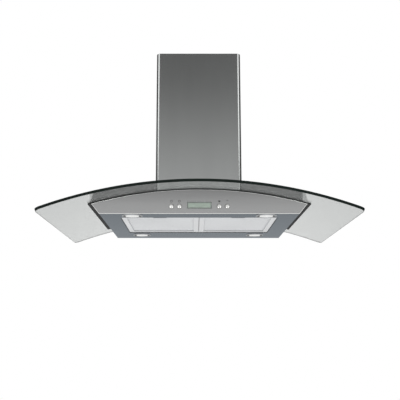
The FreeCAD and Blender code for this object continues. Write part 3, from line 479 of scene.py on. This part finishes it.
def brushed(name, colour, roughness, grain, blotch, streak, edge=(1.0, 1.0, 1.0)):
    """Sheet metal with a fine grain along one axis and soft cloudy patches."""
    material, tree, surface = finish(name, colour, roughness, 1.0, Specular_Tint=(*edge, 1.0))
    fine = noise(tree, placed(tree, grain), detail=4.0, rough=0.65)
    wide = tuple(max(across * 0.012, 1.2) for across in grain)
    cloud = noise(tree, placed(tree, wide), scale=2.0, detail=2.0)
    both = put(tree, "Math", operation="ADD")
    feed(tree, both, 0, remap(tree, fine, -streak, streak))
    feed(tree, both, 1, remap(tree, cloud, -blotch, blotch))
    tone = remap(tree, both.outputs[0], 0.0, 1.0, (-blotch - streak, blotch + streak))
    dull, bright = shade(colour, 1 - blotch - streak), shade(colour, 1 + blotch + streak)
    feed(tree, surface, "Base Color", tinted(tree, tone, dull, bright))
    feed(tree, surface, "Roughness", remap(tree, fine, roughness * 0.86, roughness * 1.16))
    bumped(tree, surface, fine, 0.04)
    return material


def cast(name, colour, roughness, metallic=0.0, scale=900.0, depth=0.12, **sockets):
    """A moulded, plated or painted surface with a faint texture of its own."""
    material, tree, surface = finish(name, colour, roughness, metallic, **sockets)
    skin = noise(tree, placed(tree), scale=scale, detail=2.0)
    cloud = noise(tree, placed(tree), scale=18.0, detail=3.0)
    tone = remap(tree, cloud, 0.0, 1.0)
    feed(tree, surface, "Base Color", tinted(tree, tone, shade(colour, 0.86), shade(colour, 1.12)))
    feed(tree, surface, "Roughness", remap(tree, skin, roughness * 0.85, roughness * 1.2))
    bumped(tree, surface, skin, depth)
    return material


def spangled(name, colour):
    """Galvanised sheet with its zinc crystals."""
    material, tree, surface = finish(name, colour, 0.4, 1.0)
    place = placed(tree)
    flakes = put(tree, "TexVoronoi", {"Vector": place, "Scale": 140.0, "Randomness": 1.0})
    grey = put(tree, "RGBToBW", {"Color": flakes.outputs["Color"]}).outputs[0]
    feed(tree, surface, "Base Color", tinted(tree, grey, shade(colour, 0.72), shade(colour, 1.15)))
    feed(tree, surface, "Roughness", remap(tree, grey, 0.28, 0.5, (0.0, 1.0)))
    return material


def clear_glass(name, tint):
    """Clear glass with a faint film on its faces."""
    material, tree, surface = finish(name, tint, 0.0, IOR=1.5, Transmission_Weight=1.0)
    film = noise(tree, placed(tree), scale=9.0, detail=2.0)
    tone = remap(tree, film, 0.0, 1.0)
    feed(tree, surface, "Roughness", remap(tree, film, 0.0, 0.012))
    feed(tree, surface, "Base Color", tinted(tree, tone, shade(tint, 0.985), tint))
    return material


def glass_edge(name, colour):
    """The ground edge of the sheet, nearly black with a hint of green."""
    material, tree, surface = finish(name, colour, 0.12, IOR=1.15)
    grind = noise(tree, placed(tree, (60, 60, 900)), detail=3.0)
    tone = remap(tree, grind, 0.0, 1.0)
    feed(tree, surface, "Base Color", tinted(tree, tone, shade(colour, 0.75), shade(colour, 1.5)))
    feed(tree, surface, "Roughness", remap(tree, grind, 0.08, 0.2))
    return material


def lamp_frost(name):
    """Frosted lamp glass: fine ribs and a milky body."""
    material, tree, surface = finish(
        name, (0.93, 0.94, 0.93), 0.3, IOR=1.5, Transmission_Weight=0.12,
        Emission_Color=(1.0, 1.0, 0.98, 1), Emission_Strength=0.12)
    ribs = put(tree, "TexWave", {"Vector": placed(tree), "Scale": 90.0, "Distortion": 0.6,
                                 "Detail": 1.0}, bands_direction="X").outputs["Fac"]
    feed(tree, surface, "Roughness", remap(tree, ribs, 0.2, 0.38, (0.0, 1.0)))
    bumped(tree, surface, ribs, 0.25, 0.0004)
    return material


def make_finishes():
    """Every finish by the name of its slot, or of the piece that it is for."""
    steel = bpy.context.scene.hood_steel
    glass = bpy.context.scene.hood_glass
    filters = bpy.context.scene.hood_filters
    across = (6, 1400, 1400)
    return {
        "canopy_glass": clear_glass("canopy_glass", tuple(glass.tint)),
        "glass_edge": glass_edge("canopy_glass_edge", tuple(glass.rim)),
        "panel_steel": brushed("stainless_grain_across", tuple(steel.steel), steel.sheen * 0.6,
                               across, blotch=0.03, streak=0.03),
        # much brighter copy of the steel for the fascia's folded edges: a painted highlight along
        # the folds
        "fold_highlight_steel": brushed("stainless_polished_fold", (0.78, 0.78, 0.77), 0.18, across,
                              blotch=0.02, streak=0.02),
        # darker copy of the stainless steel for the underside panel: its darkness is painted shade
        "underside_shaded_steel": brushed("stainless_underside", tuple(steel.underside), steel.sheen,
                                   across, blotch=0.05, streak=0.03, edge=(0.64, 0.68, 0.72)),
        "chimney_steel": brushed("stainless_grain_upright", tuple(steel.cover), steel.sheen * 0.9,
                                 (900, 900, 5), blotch=0.02, streak=0.01),
        "galvanised": spangled("galvanised_sheet", (0.46, 0.48, 0.49)),
        "zinc": cast("zinc_plate", (0.58, 0.58, 0.55), 0.3, 1.0, 500.0),
        "filter_aluminium": brushed("filter_aluminium", tuple(filters.metal), 0.36, (90, 500, 500),
                                    blotch=0.04, streak=0.04),
        "filter_foil": brushed("filter_expanded_aluminium", (0.67, 0.68, 0.69), 0.36,
                               (200, 200, 200), blotch=0.03, streak=0.06),
        "chrome": cast("chrome_plate", (0.36, 0.37, 0.38), 0.14, 1.0, 300.0, 0.03,
                       Specular_Tint=(0.70, 0.71, 0.72, 1.0)),
        "button_metal": cast("button_satin_metal", (0.24, 0.24, 0.235), 0.26, 1.0, 700.0, 0.06),
        "button_dish": cast("button_polished_dish", (0.60, 0.60, 0.59), 0.10, 1.0, 700.0, 0.03),
        "lamp_glass": lamp_frost("lamp_frosted_glass"),
        "bulb_glass": clear_glass("bulb_glass", (0.97, 0.97, 0.95)),
        "ceramic_white": cast("lamp_ceramic", (0.82, 0.80, 0.76), 0.4, 0.0, 600.0),
        "rubber": cast("seal_rubber", (0.018, 0.019, 0.019), 0.7, 0.0, 1200.0, 0.3,
                       Specular_IOR_Level=0.3),
        "display_frame": cast("display_frame_plastic", (0.24, 0.26, 0.25), 0.35, 0.0, 900.0, 0.08),
        "display_pane": cast("display_pane", (0.43, 0.52, 0.445), 0.16, 0.0, 60.0, 0.02,
                             Coat_Weight=0.3),
        "dark_plastic": cast("dark_moulded_plastic", (0.05, 0.05, 0.05), 0.45, 0.0, 1400.0, 0.3),
        "fan_plastic": cast("fan_plastic", (0.13, 0.135, 0.14), 0.42, 0.0, 1400.0, 0.25),
        "latch_plastic": cast("latch_plastic", (0.50, 0.51, 0.52), 0.4, 0.0, 1100.0, 0.2),
        "circuit_board": cast("circuit_board_mask", (0.03, 0.15, 0.07), 0.35, 0.0, 260.0, 0.25),
        "motor_paint": cast("motor_paint", (0.10, 0.10, 0.11), 0.4, 0.0, 500.0, 0.2),
        "print_grey": cast("button_marks_print", (0.10, 0.105, 0.105), 0.5, 0.0, 900.0, 0.05),
    }


FINISH = {}


def seen(tree):
    """One for rays from the camera, off shiny things or through glass, nothing for the rest."""
    rays = put(tree, "LightPath")
    direct = put(tree, "Math", operation="MAXIMUM")
    feed(tree, direct, 0, rays.outputs["Is Camera Ray"])
    feed(tree, direct, 1, rays.outputs["Is Glossy Ray"])
    total = put(tree, "Math", operation="MAXIMUM")
    feed(tree, total, 0, direct.outputs[0])
    feed(tree, total, 1, rays.outputs["Is Transmission Ray"])
    return total.outputs[0]


def flat_sheet(name, half, front, rear):
    """A plane between two places along Y. Left in edit mode."""
    place = (0, (front + rear) / 2, 0)
    piece = primitive("plane", name, size=1.0, location=place)
    edit(piece)
    bpy.ops.mesh.select_all(action="SELECT")
    bpy.ops.transform.resize(value=(2 * half, rear - front, 1), center_override=place)
    freeze(piece)
    edit(piece)
    return piece


def bend_to_arch(drop=0.0, below=math.inf):
    """Put every point of the mesh being edited that lies below a height onto the arch."""
    mesh = bpy.context.edit_object.data
    form = bmesh.from_edit_mesh(mesh)
    for vert in form.verts:
        if vert.co.z < below:
            vert.co.z = arch(vert.co.x, drop)
    bmesh.update_edit_mesh(mesh)


# ---- the pieces ----
class HOOD_OT_stage(bpy.types.Operator):
    """Floor, room light, cards for reflections, soft lamps and the camera"""
    bl_idname = "hood.stage"
    bl_label = "Stage"

    def execute(self, context):
        look = context.scene.hood_stage
        context.scene.view_settings.view_transform = "Standard"
        floor = primitive("circle", "studio_floor", vertices=96, radius=FLOOR_R, fill_type="NGON",
                          location=FLOOR_PLACE)
        material, tree, surface = finish("studio_floor", tuple(look.floor), 0.9,
                                         Emission_Color=(1, 1, 1, 1))
        glow = remap(tree, seen(tree), 0.0, FLOOR_GLOW, (0.0, 1.0))
        feed(tree, surface, "Emission Strength", glow)
        floor.data.materials.append(material)
        freeze(floor)

        world = bpy.data.worlds.new("room")
        context.scene.world = world
        world.use_nodes = True
        tree = world.node_tree
        background = tree.nodes["Background"]
        background.inputs["Color"].default_value = (1, 1, 1, 1)
        feed(tree, background, "Strength", remap(tree, seen(tree), look.level, 1.0, (0.0, 1.0)))

        facing = (UPRIGHT, 0, 0)
        self.card("studio_card_front", (0, -3.4, 1.05), facing, (3.0, 4.7), 2.56, FRONT_TONES)
        self.card("studio_card_rear", (0, 1.6, 0.62), facing, (4.4, 1.84), 0.42)
        self.card("studio_card_dark", (0, 1.5, 0.565), facing, (1.42, 0.53), 0.13)
        for side, sign in (("left", -1), ("right", 1)):
            self.card("studio_strip_" + side, (2.3 * sign, -2.6, 0.8),
                      (UPRIGHT, 0, math.radians(42 * sign)), (0.7, 3.4), 2.6, through=False)
            self.card("studio_flag_" + side, (2.7 * sign, 0.2, 0.8), (UPRIGHT, 0, UPRIGHT),
                      (2.8, 3.4), 0.22, through=False)
        self.lamp("soft_lamp_left", (-1.6, -1.8, 1.5))
        self.lamp("soft_lamp_right", (1.6, -1.8, 1.5))

        eye = bpy.data.cameras.new("photo_camera")
        camera = bpy.data.objects.new("photo_camera", eye)
        context.collection.objects.link(camera)
        camera.location = CAMERA_PLACE
        camera.rotation_euler = (CAMERA_TILT, 0, 0)
        eye.lens = CAMERA_LENS
        eye.sensor_width = CAMERA_SENSOR
        eye.shift_x, eye.shift_y = CAMERA_SHIFT
        context.scene.camera = camera
        return {"FINISHED"}

    def card(self, name, place, turn, size, glow, tones=(), through=True):
        """A grey card that only metal and glass see, even or with tones that change with height."""
        piece = primitive("plane", name, size=1.0, location=place, rotation=turn)
        piece.scale = (size[0], size[1], 1)
        freeze(piece)
        material, tree, surface = finish(name, (0, 0, 0), 1.0, Emission_Color=(1, 1, 1, 1),
                                         Emission_Strength=glow, Specular_IOR_Level=0.0)
        if tones:
            low, high = tones[0][0], tones[-1][0]
            height = put(tree, "SeparateXYZ", {"Vector": placed(tree)}).outputs["Z"]
            ramp = put(tree, "ValToRGB", {"Fac": remap(tree, height, 0.0, 1.0, (low, high))})
            stops = ramp.color_ramp.elements
            stops[0].color = (*[tones[0][1]] * 3, 1)
            stops[1].color = (*[tones[-1][1]] * 3, 1)
            for up, tone in tones[1:-1]:
                stops.new((up - low) / (high - low)).color = (tone, tone, tone, 1)
            feed(tree, surface, "Emission Color", ramp.outputs["Color"])
        piece.data.materials.append(material)
        piece.visible_camera = False
        piece.visible_diffuse = False
        piece.visible_transmission = through
        piece.visible_shadow = False

    def lamp(self, name, place):
        light = bpy.data.lights.new(name, "AREA")
        light.size = LAMP_SIZE
        light.energy = LAMP_POWER
        lamp = bpy.data.objects.new(name, light)
        bpy.context.collection.objects.link(lamp)
        lamp.location = place
        aim = Vector(LAMP_AIM) - lamp.location
        lamp.rotation_euler = aim.to_track_quat("-Z", "Y").to_euler()


class HOOD_OT_glass(bpy.types.Operator):
    """Arched glass sheet with rounded corners and a notch for the air box, and its rubber strip"""
    bl_idname = "hood.glass"
    bl_label = "Glass canopy"

    def execute(self, context):
        look = context.scene.hood_glass
        piece = flat_sheet("glass_sheet", GLASS_HALF, GLASS_FRONT, 0.0)
        bpy.ops.mesh.select_all(action="SELECT")
        bpy.ops.mesh.bevel(offset=look.corner, segments=8, affect="VERTICES")
        slice_at(0, (-NOTCH_HALF, NOTCH_HALF))
        pick("faces", lambda f: abs(centre(f).x) < NOTCH_HALF)
        bpy.ops.mesh.bisect(plane_co=(0, NOTCH_FRONT, 0), plane_no=(0, 1, 0))
        pick("faces", lambda f: abs(centre(f).x) < NOTCH_HALF and centre(f).y > NOTCH_FRONT)
        bpy.ops.mesh.delete(type="FACE")
        slice_at(0, steps(-GLASS_HALF, GLASS_HALF, ARCH_STEPS)[1:-1])
        bend_to_arch()
        bpy.ops.object.mode_set(mode="OBJECT")
        modify(piece, "SOLIDIFY", thickness=look.thickness, offset=-1.0)
        modify(piece, "BEVEL", width=look.edge, segments=2, limit_method="ANGLE",
               angle_limit=math.radians(60))
        piece.data.materials.append(FINISH["canopy_glass"])
        piece.data.materials.append(FINISH["glass_edge"])
        edit(piece)
        pick("faces", lambda f: abs(f.normal.normalized().z) < 0.72)
        take_second_finish()
        settle(piece, "canopy_glass", stands_for=["glass_canopy"], smooth=15.0)
        dressed("canopy_seal", "canopy_seal_strip", "rubber", FINISH["rubber"], round_off=0.0003)
        return {"FINISHED"}


class HOOD_OT_body(bpy.types.Operator):
    """Steel body under the glass: shell, leaning fascia and underside panel"""
    bl_idname = "hood.body"
    bl_label = "Steel body"

    def execute(self, context):
        look = context.scene.hood_steel
        steel = FINISH["panel_steel"]
        dressed("canopy_body", "body_shell", "stainless", steel)
        # the underside panel takes the darker copy of the steel, which paints its shade
        dressed("bottom_panel", "underside_panel", "stainless", FINISH["underside_shaded_steel"])

        plate = traced("fascia", "fascia_plate")
        plate.data.materials.append(steel)
        # second finish: the painted highlight along the folded edges
        plate.data.materials.append(FINISH["fold_highlight_steel"])

        def on_front(point):
            return abs(point.y - BODY_FRONT + LEAN * (point.z - UNDERSIDE)) < 1e-5

        def outline(edge):
            """The plate's outer edges along its sides, its foot and its arched top."""
            if not all(on_front(v.co) for v in edge.verts) or len(edge.link_faces) != 2:
                return False
            if edge.calc_face_angle(0.0) < 0.5:
                return False
            place = middle(edge)
            up = place.z - UNDERSIDE
            side = abs(abs(place.x) - BODY_HALF - SIDE_LEAN * up) < 0.001
            return side or up < 0.001 or abs(place.z - arch(place.x, BODY_DROP)) < 0.001

        edit(plate)
        pick("edges", outline)
        bpy.ops.mesh.bevel(offset=look.fold, segments=4, affect="EDGES", clamp_overlap=True)
        # the folded edges take the brighter steel, which paints their highlight
        take_second_finish()
        modify(plate, "BEVEL", width=0.0002, segments=2, limit_method="ANGLE",
               angle_limit=math.radians(50), use_clamp_overlap=True)
        settle(plate, "stainless", stands_for=["fascia"])
        return {"FINISHED"}


class HOOD_OT_controls(bpy.types.Operator):
    """Display with its frame, four round buttons and the marks above them"""
    bl_idname = "hood.controls"
    bl_label = "Controls"

    def execute(self, context):
        for node, name, round_off in (("display_bezel", "display_frame", 0.0003),
                                      ("display_window", "display_pane", 0.0002)):
            dressed(node, name, name, FINISH[name], round_off=round_off)
        cap = ring("button_cap", BUTTON_RINGS, segments=48, capped=True)
        cap.data.materials.append(FINISH["button_metal"])
        cap.data.materials.append(FINISH["button_dish"])
        edit(cap)
        pick("faces", lambda f: centre(f).z > DISH_LOW and centre(f).xy.length < DISH_R)
        take_second_finish()
        for name, across in BUTTONS.items():
            twin = copy_of(cap, "cap_" + name)
            self.lean(twin, on_fascia(across, BUTTON_UP))
            settle(twin, "button_metal", body=name, stands_for=[name], smooth=50.0)

        marks = []
        for name, (outer, inner) in RING_MARKS.items():
            marks.append((BUTTONS[name], ring("mark", [
                (inner, inner, MARK_LOW), (inner, inner, MARK_HIGH), (outer, outer, MARK_HIGH),
                (outer, outer, MARK_LOW), (inner, inner, MARK_LOW)])))
        edit(marks[-1][1])
        cut(1, 0.0, -1, clear_outer=True, use_fill=True)
        bpy.ops.object.mode_set(mode="OBJECT")
        marks.append((BUTTONS["button_minus"], ring("mark", [
            (DOT_MARK, DOT_MARK, MARK_LOW), (DOT_MARK, DOT_MARK, MARK_HIGH),
            (0.001, 0.001, MARK_HIGH)], capped=True)))
        for across, mark in marks:
            self.lean(mark, on_fascia(across, MARK_UP))
        focus(*[mark for across, mark in marks])
        bpy.ops.object.join()
        joined = context.object
        joined.name = joined.data.name = "button_marks"
        settle(joined, "stainless", FINISH["print_grey"])
        bpy.data.objects.remove(cap)
        return {"FINISHED"}

    def lean(self, piece, place):
        """Turn a piece that was modelled lying flat so that it faces out of the fascia."""
        piece.rotation_euler = (UPRIGHT + TILT, 0, 0)
        piece.location = place
        freeze(piece)


class HOOD_OT_filters(bpy.types.Operator):
    """Two grease filters of expanded aluminium with their frames, latches and rail"""
    bl_idname = "hood.filters"
    bl_label = "Grease filters"

    def execute(self, context):
        look = context.scene.hood_filters
        metal = FINISH["filter_aluminium"]
        near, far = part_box("filter_mesh_right")
        area = near[0], far[0], near[1], far[1]
        pack = [self.lattice(look, area, layer) for layer in range(look.layers)]
        pack.append(self.foil(area, LATTICE_Z + LAYER_RISE * look.layers + FOIL_RISE))
        focus(*pack)
        bpy.ops.object.join()
        right = context.object
        right.name = right.data.name = "mesh_pack_right"
        left = copy_of(right, "mesh_pack_left", mirrored=True)
        for side, piece in (("right", right), ("left", left)):
            settle(piece, "filter_aluminium", FINISH["filter_foil"], body="filter_" + side,
                   stands_for=["filter_mesh_" + side])
            dressed("filter_frame_" + side, "frame_" + side, "filter_aluminium", metal,
                    body="filter_" + side, round_off=0.0009)
            dressed("filter_latch_" + side, "latch_" + side, "latch_plastic",
                    FINISH["latch_plastic"], body="latch_" + side)
        dressed("filter_divider", "filter_rail", "filter_aluminium", metal, round_off=0.0003)
        return {"FINISHED"}

    def lattice(self, look, area, layer):
        """One layer of diamond openings, every other layer shifted by half an opening."""
        inner, outer, front, rear = area
        columns = round((outer - inner) / look.pitch)
        rows = round((rear - front) / (look.pitch * OPENING_RATIO))
        shift = 0.5 * (layer % 2)
        piece = primitive("grid", "lattice", x_subdivisions=columns, y_subdivisions=rows, size=1.0)
        edit(piece)
        bpy.ops.mesh.select_all(action="SELECT")
        bpy.ops.mesh.poke()
        pick("edges", lambda e: min(abs(run_of(e).x), abs(run_of(e).y)) < 1e-4
             and len(e.link_faces) == 2)
        bpy.ops.mesh.dissolve_edges(use_verts=False)
        bpy.ops.mesh.select_all(action="SELECT")
        width, depth = outer - inner, rear - front
        bpy.ops.transform.resize(value=(width * (1 + 1 / columns), depth * (1 + 1 / rows), 1))
        bpy.ops.transform.translate(value=(
            (inner + outer) / 2 + shift * look.pitch / 2,
            (front + rear) / 2 + shift * look.pitch * OPENING_RATIO / 2,
            LATTICE_Z + LAYER_RISE * layer))
        for axis, low, high in ((0, inner, outer), (1, front, rear)):
            cut(axis, low, -1, clear_outer=True)
            cut(axis, high, 1, clear_outer=True)
        bpy.ops.object.mode_set(mode="OBJECT")
        modify(piece, "WIREFRAME", thickness=look.strand, use_even_offset=True, use_boundary=True)
        return piece

    def foil(self, area, height):
        """Crumpled foil above the lattice."""
        rng = random.Random(7)
        inner, outer, front, rear = area
        columns, rows = FOIL_CELLS
        piece = primitive("grid", "foil", x_subdivisions=columns, y_subdivisions=rows, size=1.0,
                          location=((inner + outer) / 2, (front + rear) / 2, height))
        piece.scale = (outer - inner, rear - front, 1)
        freeze(piece)
        for vert in piece.data.vertices:
            vert.co.z += rng.uniform(-FOIL_CRUMPLE, FOIL_CRUMPLE)
        modify(piece, "SOLIDIFY", thickness=FOIL_SHEET, offset=0.0)
        return piece


class HOOD_OT_lamps(bpy.types.Operator):
    """Four oval lamps: chrome rim, frosted lens and two dark holding clips each, which also paint
    the shade in the recess between lens and rim
    """
    bl_idname = "hood.lamps"
    bl_label = "Lamps"

    def execute(self, context):
        rim = ring("lamp_rim", RIM_RINGS, segments=96)
        lens = ring("lamp_lens", LENS_RINGS, segments=96, capped=True)
        # dark clips at both ends of each lens: painted shade for the recess between lens and rim
        shade_clip = ring("lamp_clip", SHADE_CLIP_RINGS, segments=32, capped=True)
        for corner, (x, y) in LAMPS.items():
            for end, sign in (("a", -1), ("b", 1)):
                place = (x + SHADE_CLIP_OUT * sign, y, UNDERSIDE)
                settle(copy_of(shade_clip, "clip_%s_%s" % (corner, end), place), "dark_plastic",
                       FINISH["dark_plastic"])
            place = (x, y, UNDERSIDE)
            settle(copy_of(rim, "rim_" + corner, place), "chrome", FINISH["chrome"],
                   stands_for=["lamp_bezel_" + corner], smooth=50.0)
            settle(copy_of(lens, "lens_" + corner, place), "lamp_glass", FINISH["lamp_glass"],
                   stands_for=["lamp_lens_" + corner], smooth=50.0)
        for piece in (rim, lens, shade_clip):
            bpy.data.objects.remove(piece)
        return {"FINISHED"}


class HOOD_OT_chimney(bpy.types.Operator):
    """Telescopic chimney: two folded covers, the upper one inside the lower one"""
    bl_idname = "hood.chimney"
    bl_label = "Chimney"

    def execute(self, context):
        self.cover("lower_cover", "lower_chimney", "root", LOWER_FOOT, CHIMNEY_TOP, LOWER_REAR,
                   on_glass=True)
        self.cover("upper_cover", "upper_chimney", "upper_chimney", UPPER_FOOT, UPPER_TOP,
                   UPPER_REAR, inset=UPPER_INSET)
        return {"FINISHED"}

    def cover(self, name, node, body, bottom, top, rear, inset=0.0, on_glass=False):
        """A sheet folded round three sides, with a return along each rear edge.

        A cover that stands on the glass has its foot cut to the arch.
        """
        half, front, corner = COVER_HALF - inset, COVER_FRONT + inset, COVER_CORNER - inset
        piece = primitive("cube", name, size=1.0,
                          location=(0, (front + rear) / 2, (bottom + top) / 2))
        piece.scale = (2 * half, rear - front, top - bottom)
        freeze(piece)
        edit(piece)
        pick("faces", lambda f: abs(f.normal.z) > 0.9 or f.normal.y > 0.9)
        bpy.ops.mesh.delete(type="FACE")
        pick("edges", lambda e: abs(run_of(e).z) > 0.9 and middle(e).y < front + 0.001)
        bpy.ops.mesh.bevel(offset=corner, segments=10, affect="EDGES")
        for sign in (-1, 1):
            pick("edges", lambda e: abs(run_of(e).z) > 0.9 and middle(e).y > rear - 0.0005
                 and middle(e).x * sign > half - 0.001)
            bpy.ops.mesh.extrude_edges_move()
            bpy.ops.transform.translate(value=(-sign * COVER_RETURN, 0, 0))
        if on_glass:
            slice_at(0, steps(-half + corner, half - corner, 24))
            slice_at(1, [front + corner + 0.002])
            bend_to_arch(-FOOT_CLEARANCE, bottom + 0.001)
        bpy.ops.mesh.select_all(action="SELECT")
        bpy.ops.mesh.normals_make_consistent(inside=False)
        form = bmesh.from_edit_mesh(piece.data)
        fore = [f for f in form.faces if abs(f.normal.y) > 0.9 and centre(f).y < front + 0.001]
        if fore[0].normal.y > 0:    # inside out
            bpy.ops.mesh.flip_normals()
        bpy.ops.object.mode_set(mode="OBJECT")
        modify(piece, "SOLIDIFY", thickness=COVER_SHEET, offset=-1.0, use_even_offset=True)
        modify(piece, "BEVEL", width=0.00025, segments=2, limit_method="ANGLE",
               angle_limit=math.radians(60), use_clamp_overlap=True)
        settle(piece, "stainless", FINISH["chimney_steel"], body=body, stands_for=[node],
               smooth=30.0)


class HOOD_OT_inner_parts(bpy.types.Operator):
    """Finishes for the air box, the blower, the lamp cans and all the small parts inside"""
    bl_idname = "hood.inner_parts"
    bl_label = "Inner parts"

    def execute(self, context):
        slots = {part["node"]: part["material_slot"] for part in frame["record"]["subparts"]}
        for name, node in frame["nodes"].items():
            slot = slots[name]
            material = FINISH["panel_steel" if slot == "stainless" else slot]
            if not node.material_slots:
                node.data.materials.append(material)
            for place in node.material_slots:
                place.link = "OBJECT"
                place.material = material
        return {"FINISHED"}


class HOOD_PT_pieces(bpy.types.Panel):
    bl_idname = "HOOD_PT_pieces"
    bl_label = "Curved glass hood"
    bl_space_type = "VIEW_3D"
    bl_region_type = "UI"
    bl_category = "Hood"

    def draw(self, context):
        for name in LOOKS:
            look = getattr(context.scene, name)
            box = self.layout.box()
            for setting in look.__annotations__:
                box.prop(look, setting)
        for operator in OPERATORS:
            self.layout.operator(operator.bl_idname)


LOOKS = {
    "hood_glass": GlassLook, "hood_steel": SteelLook,
    "hood_filters": FilterLook, "hood_stage": StageLook,
}
OPERATORS = (
    HOOD_OT_stage, HOOD_OT_inner_parts, HOOD_OT_glass, HOOD_OT_body, HOOD_OT_chimney,
    HOOD_OT_filters, HOOD_OT_lamps, HOOD_OT_controls,
)


def register():
    for name, look in LOOKS.items():
        bpy.utils.register_class(look)
        setattr(bpy.types.Scene, name, bpy.props.PointerProperty(type=look))
    for operator in OPERATORS:
        bpy.utils.register_class(operator)
    bpy.utils.register_class(HOOD_PT_pieces)


def unregister():
    bpy.utils.unregister_class(HOOD_PT_pieces)
    for operator in reversed(OPERATORS):
        bpy.utils.unregister_class(operator)
    for name, look in LOOKS.items():
        delattr(bpy.types.Scene, name)
        bpy.utils.unregister_class(look)


def main():
    register()
    FINISH.update(make_finishes())
    for operator in OPERATORS:
        group, call = operator.bl_idname.split(".")
        getattr(getattr(bpy.ops, group), call)()


if __name__ == "__main__":
    main()
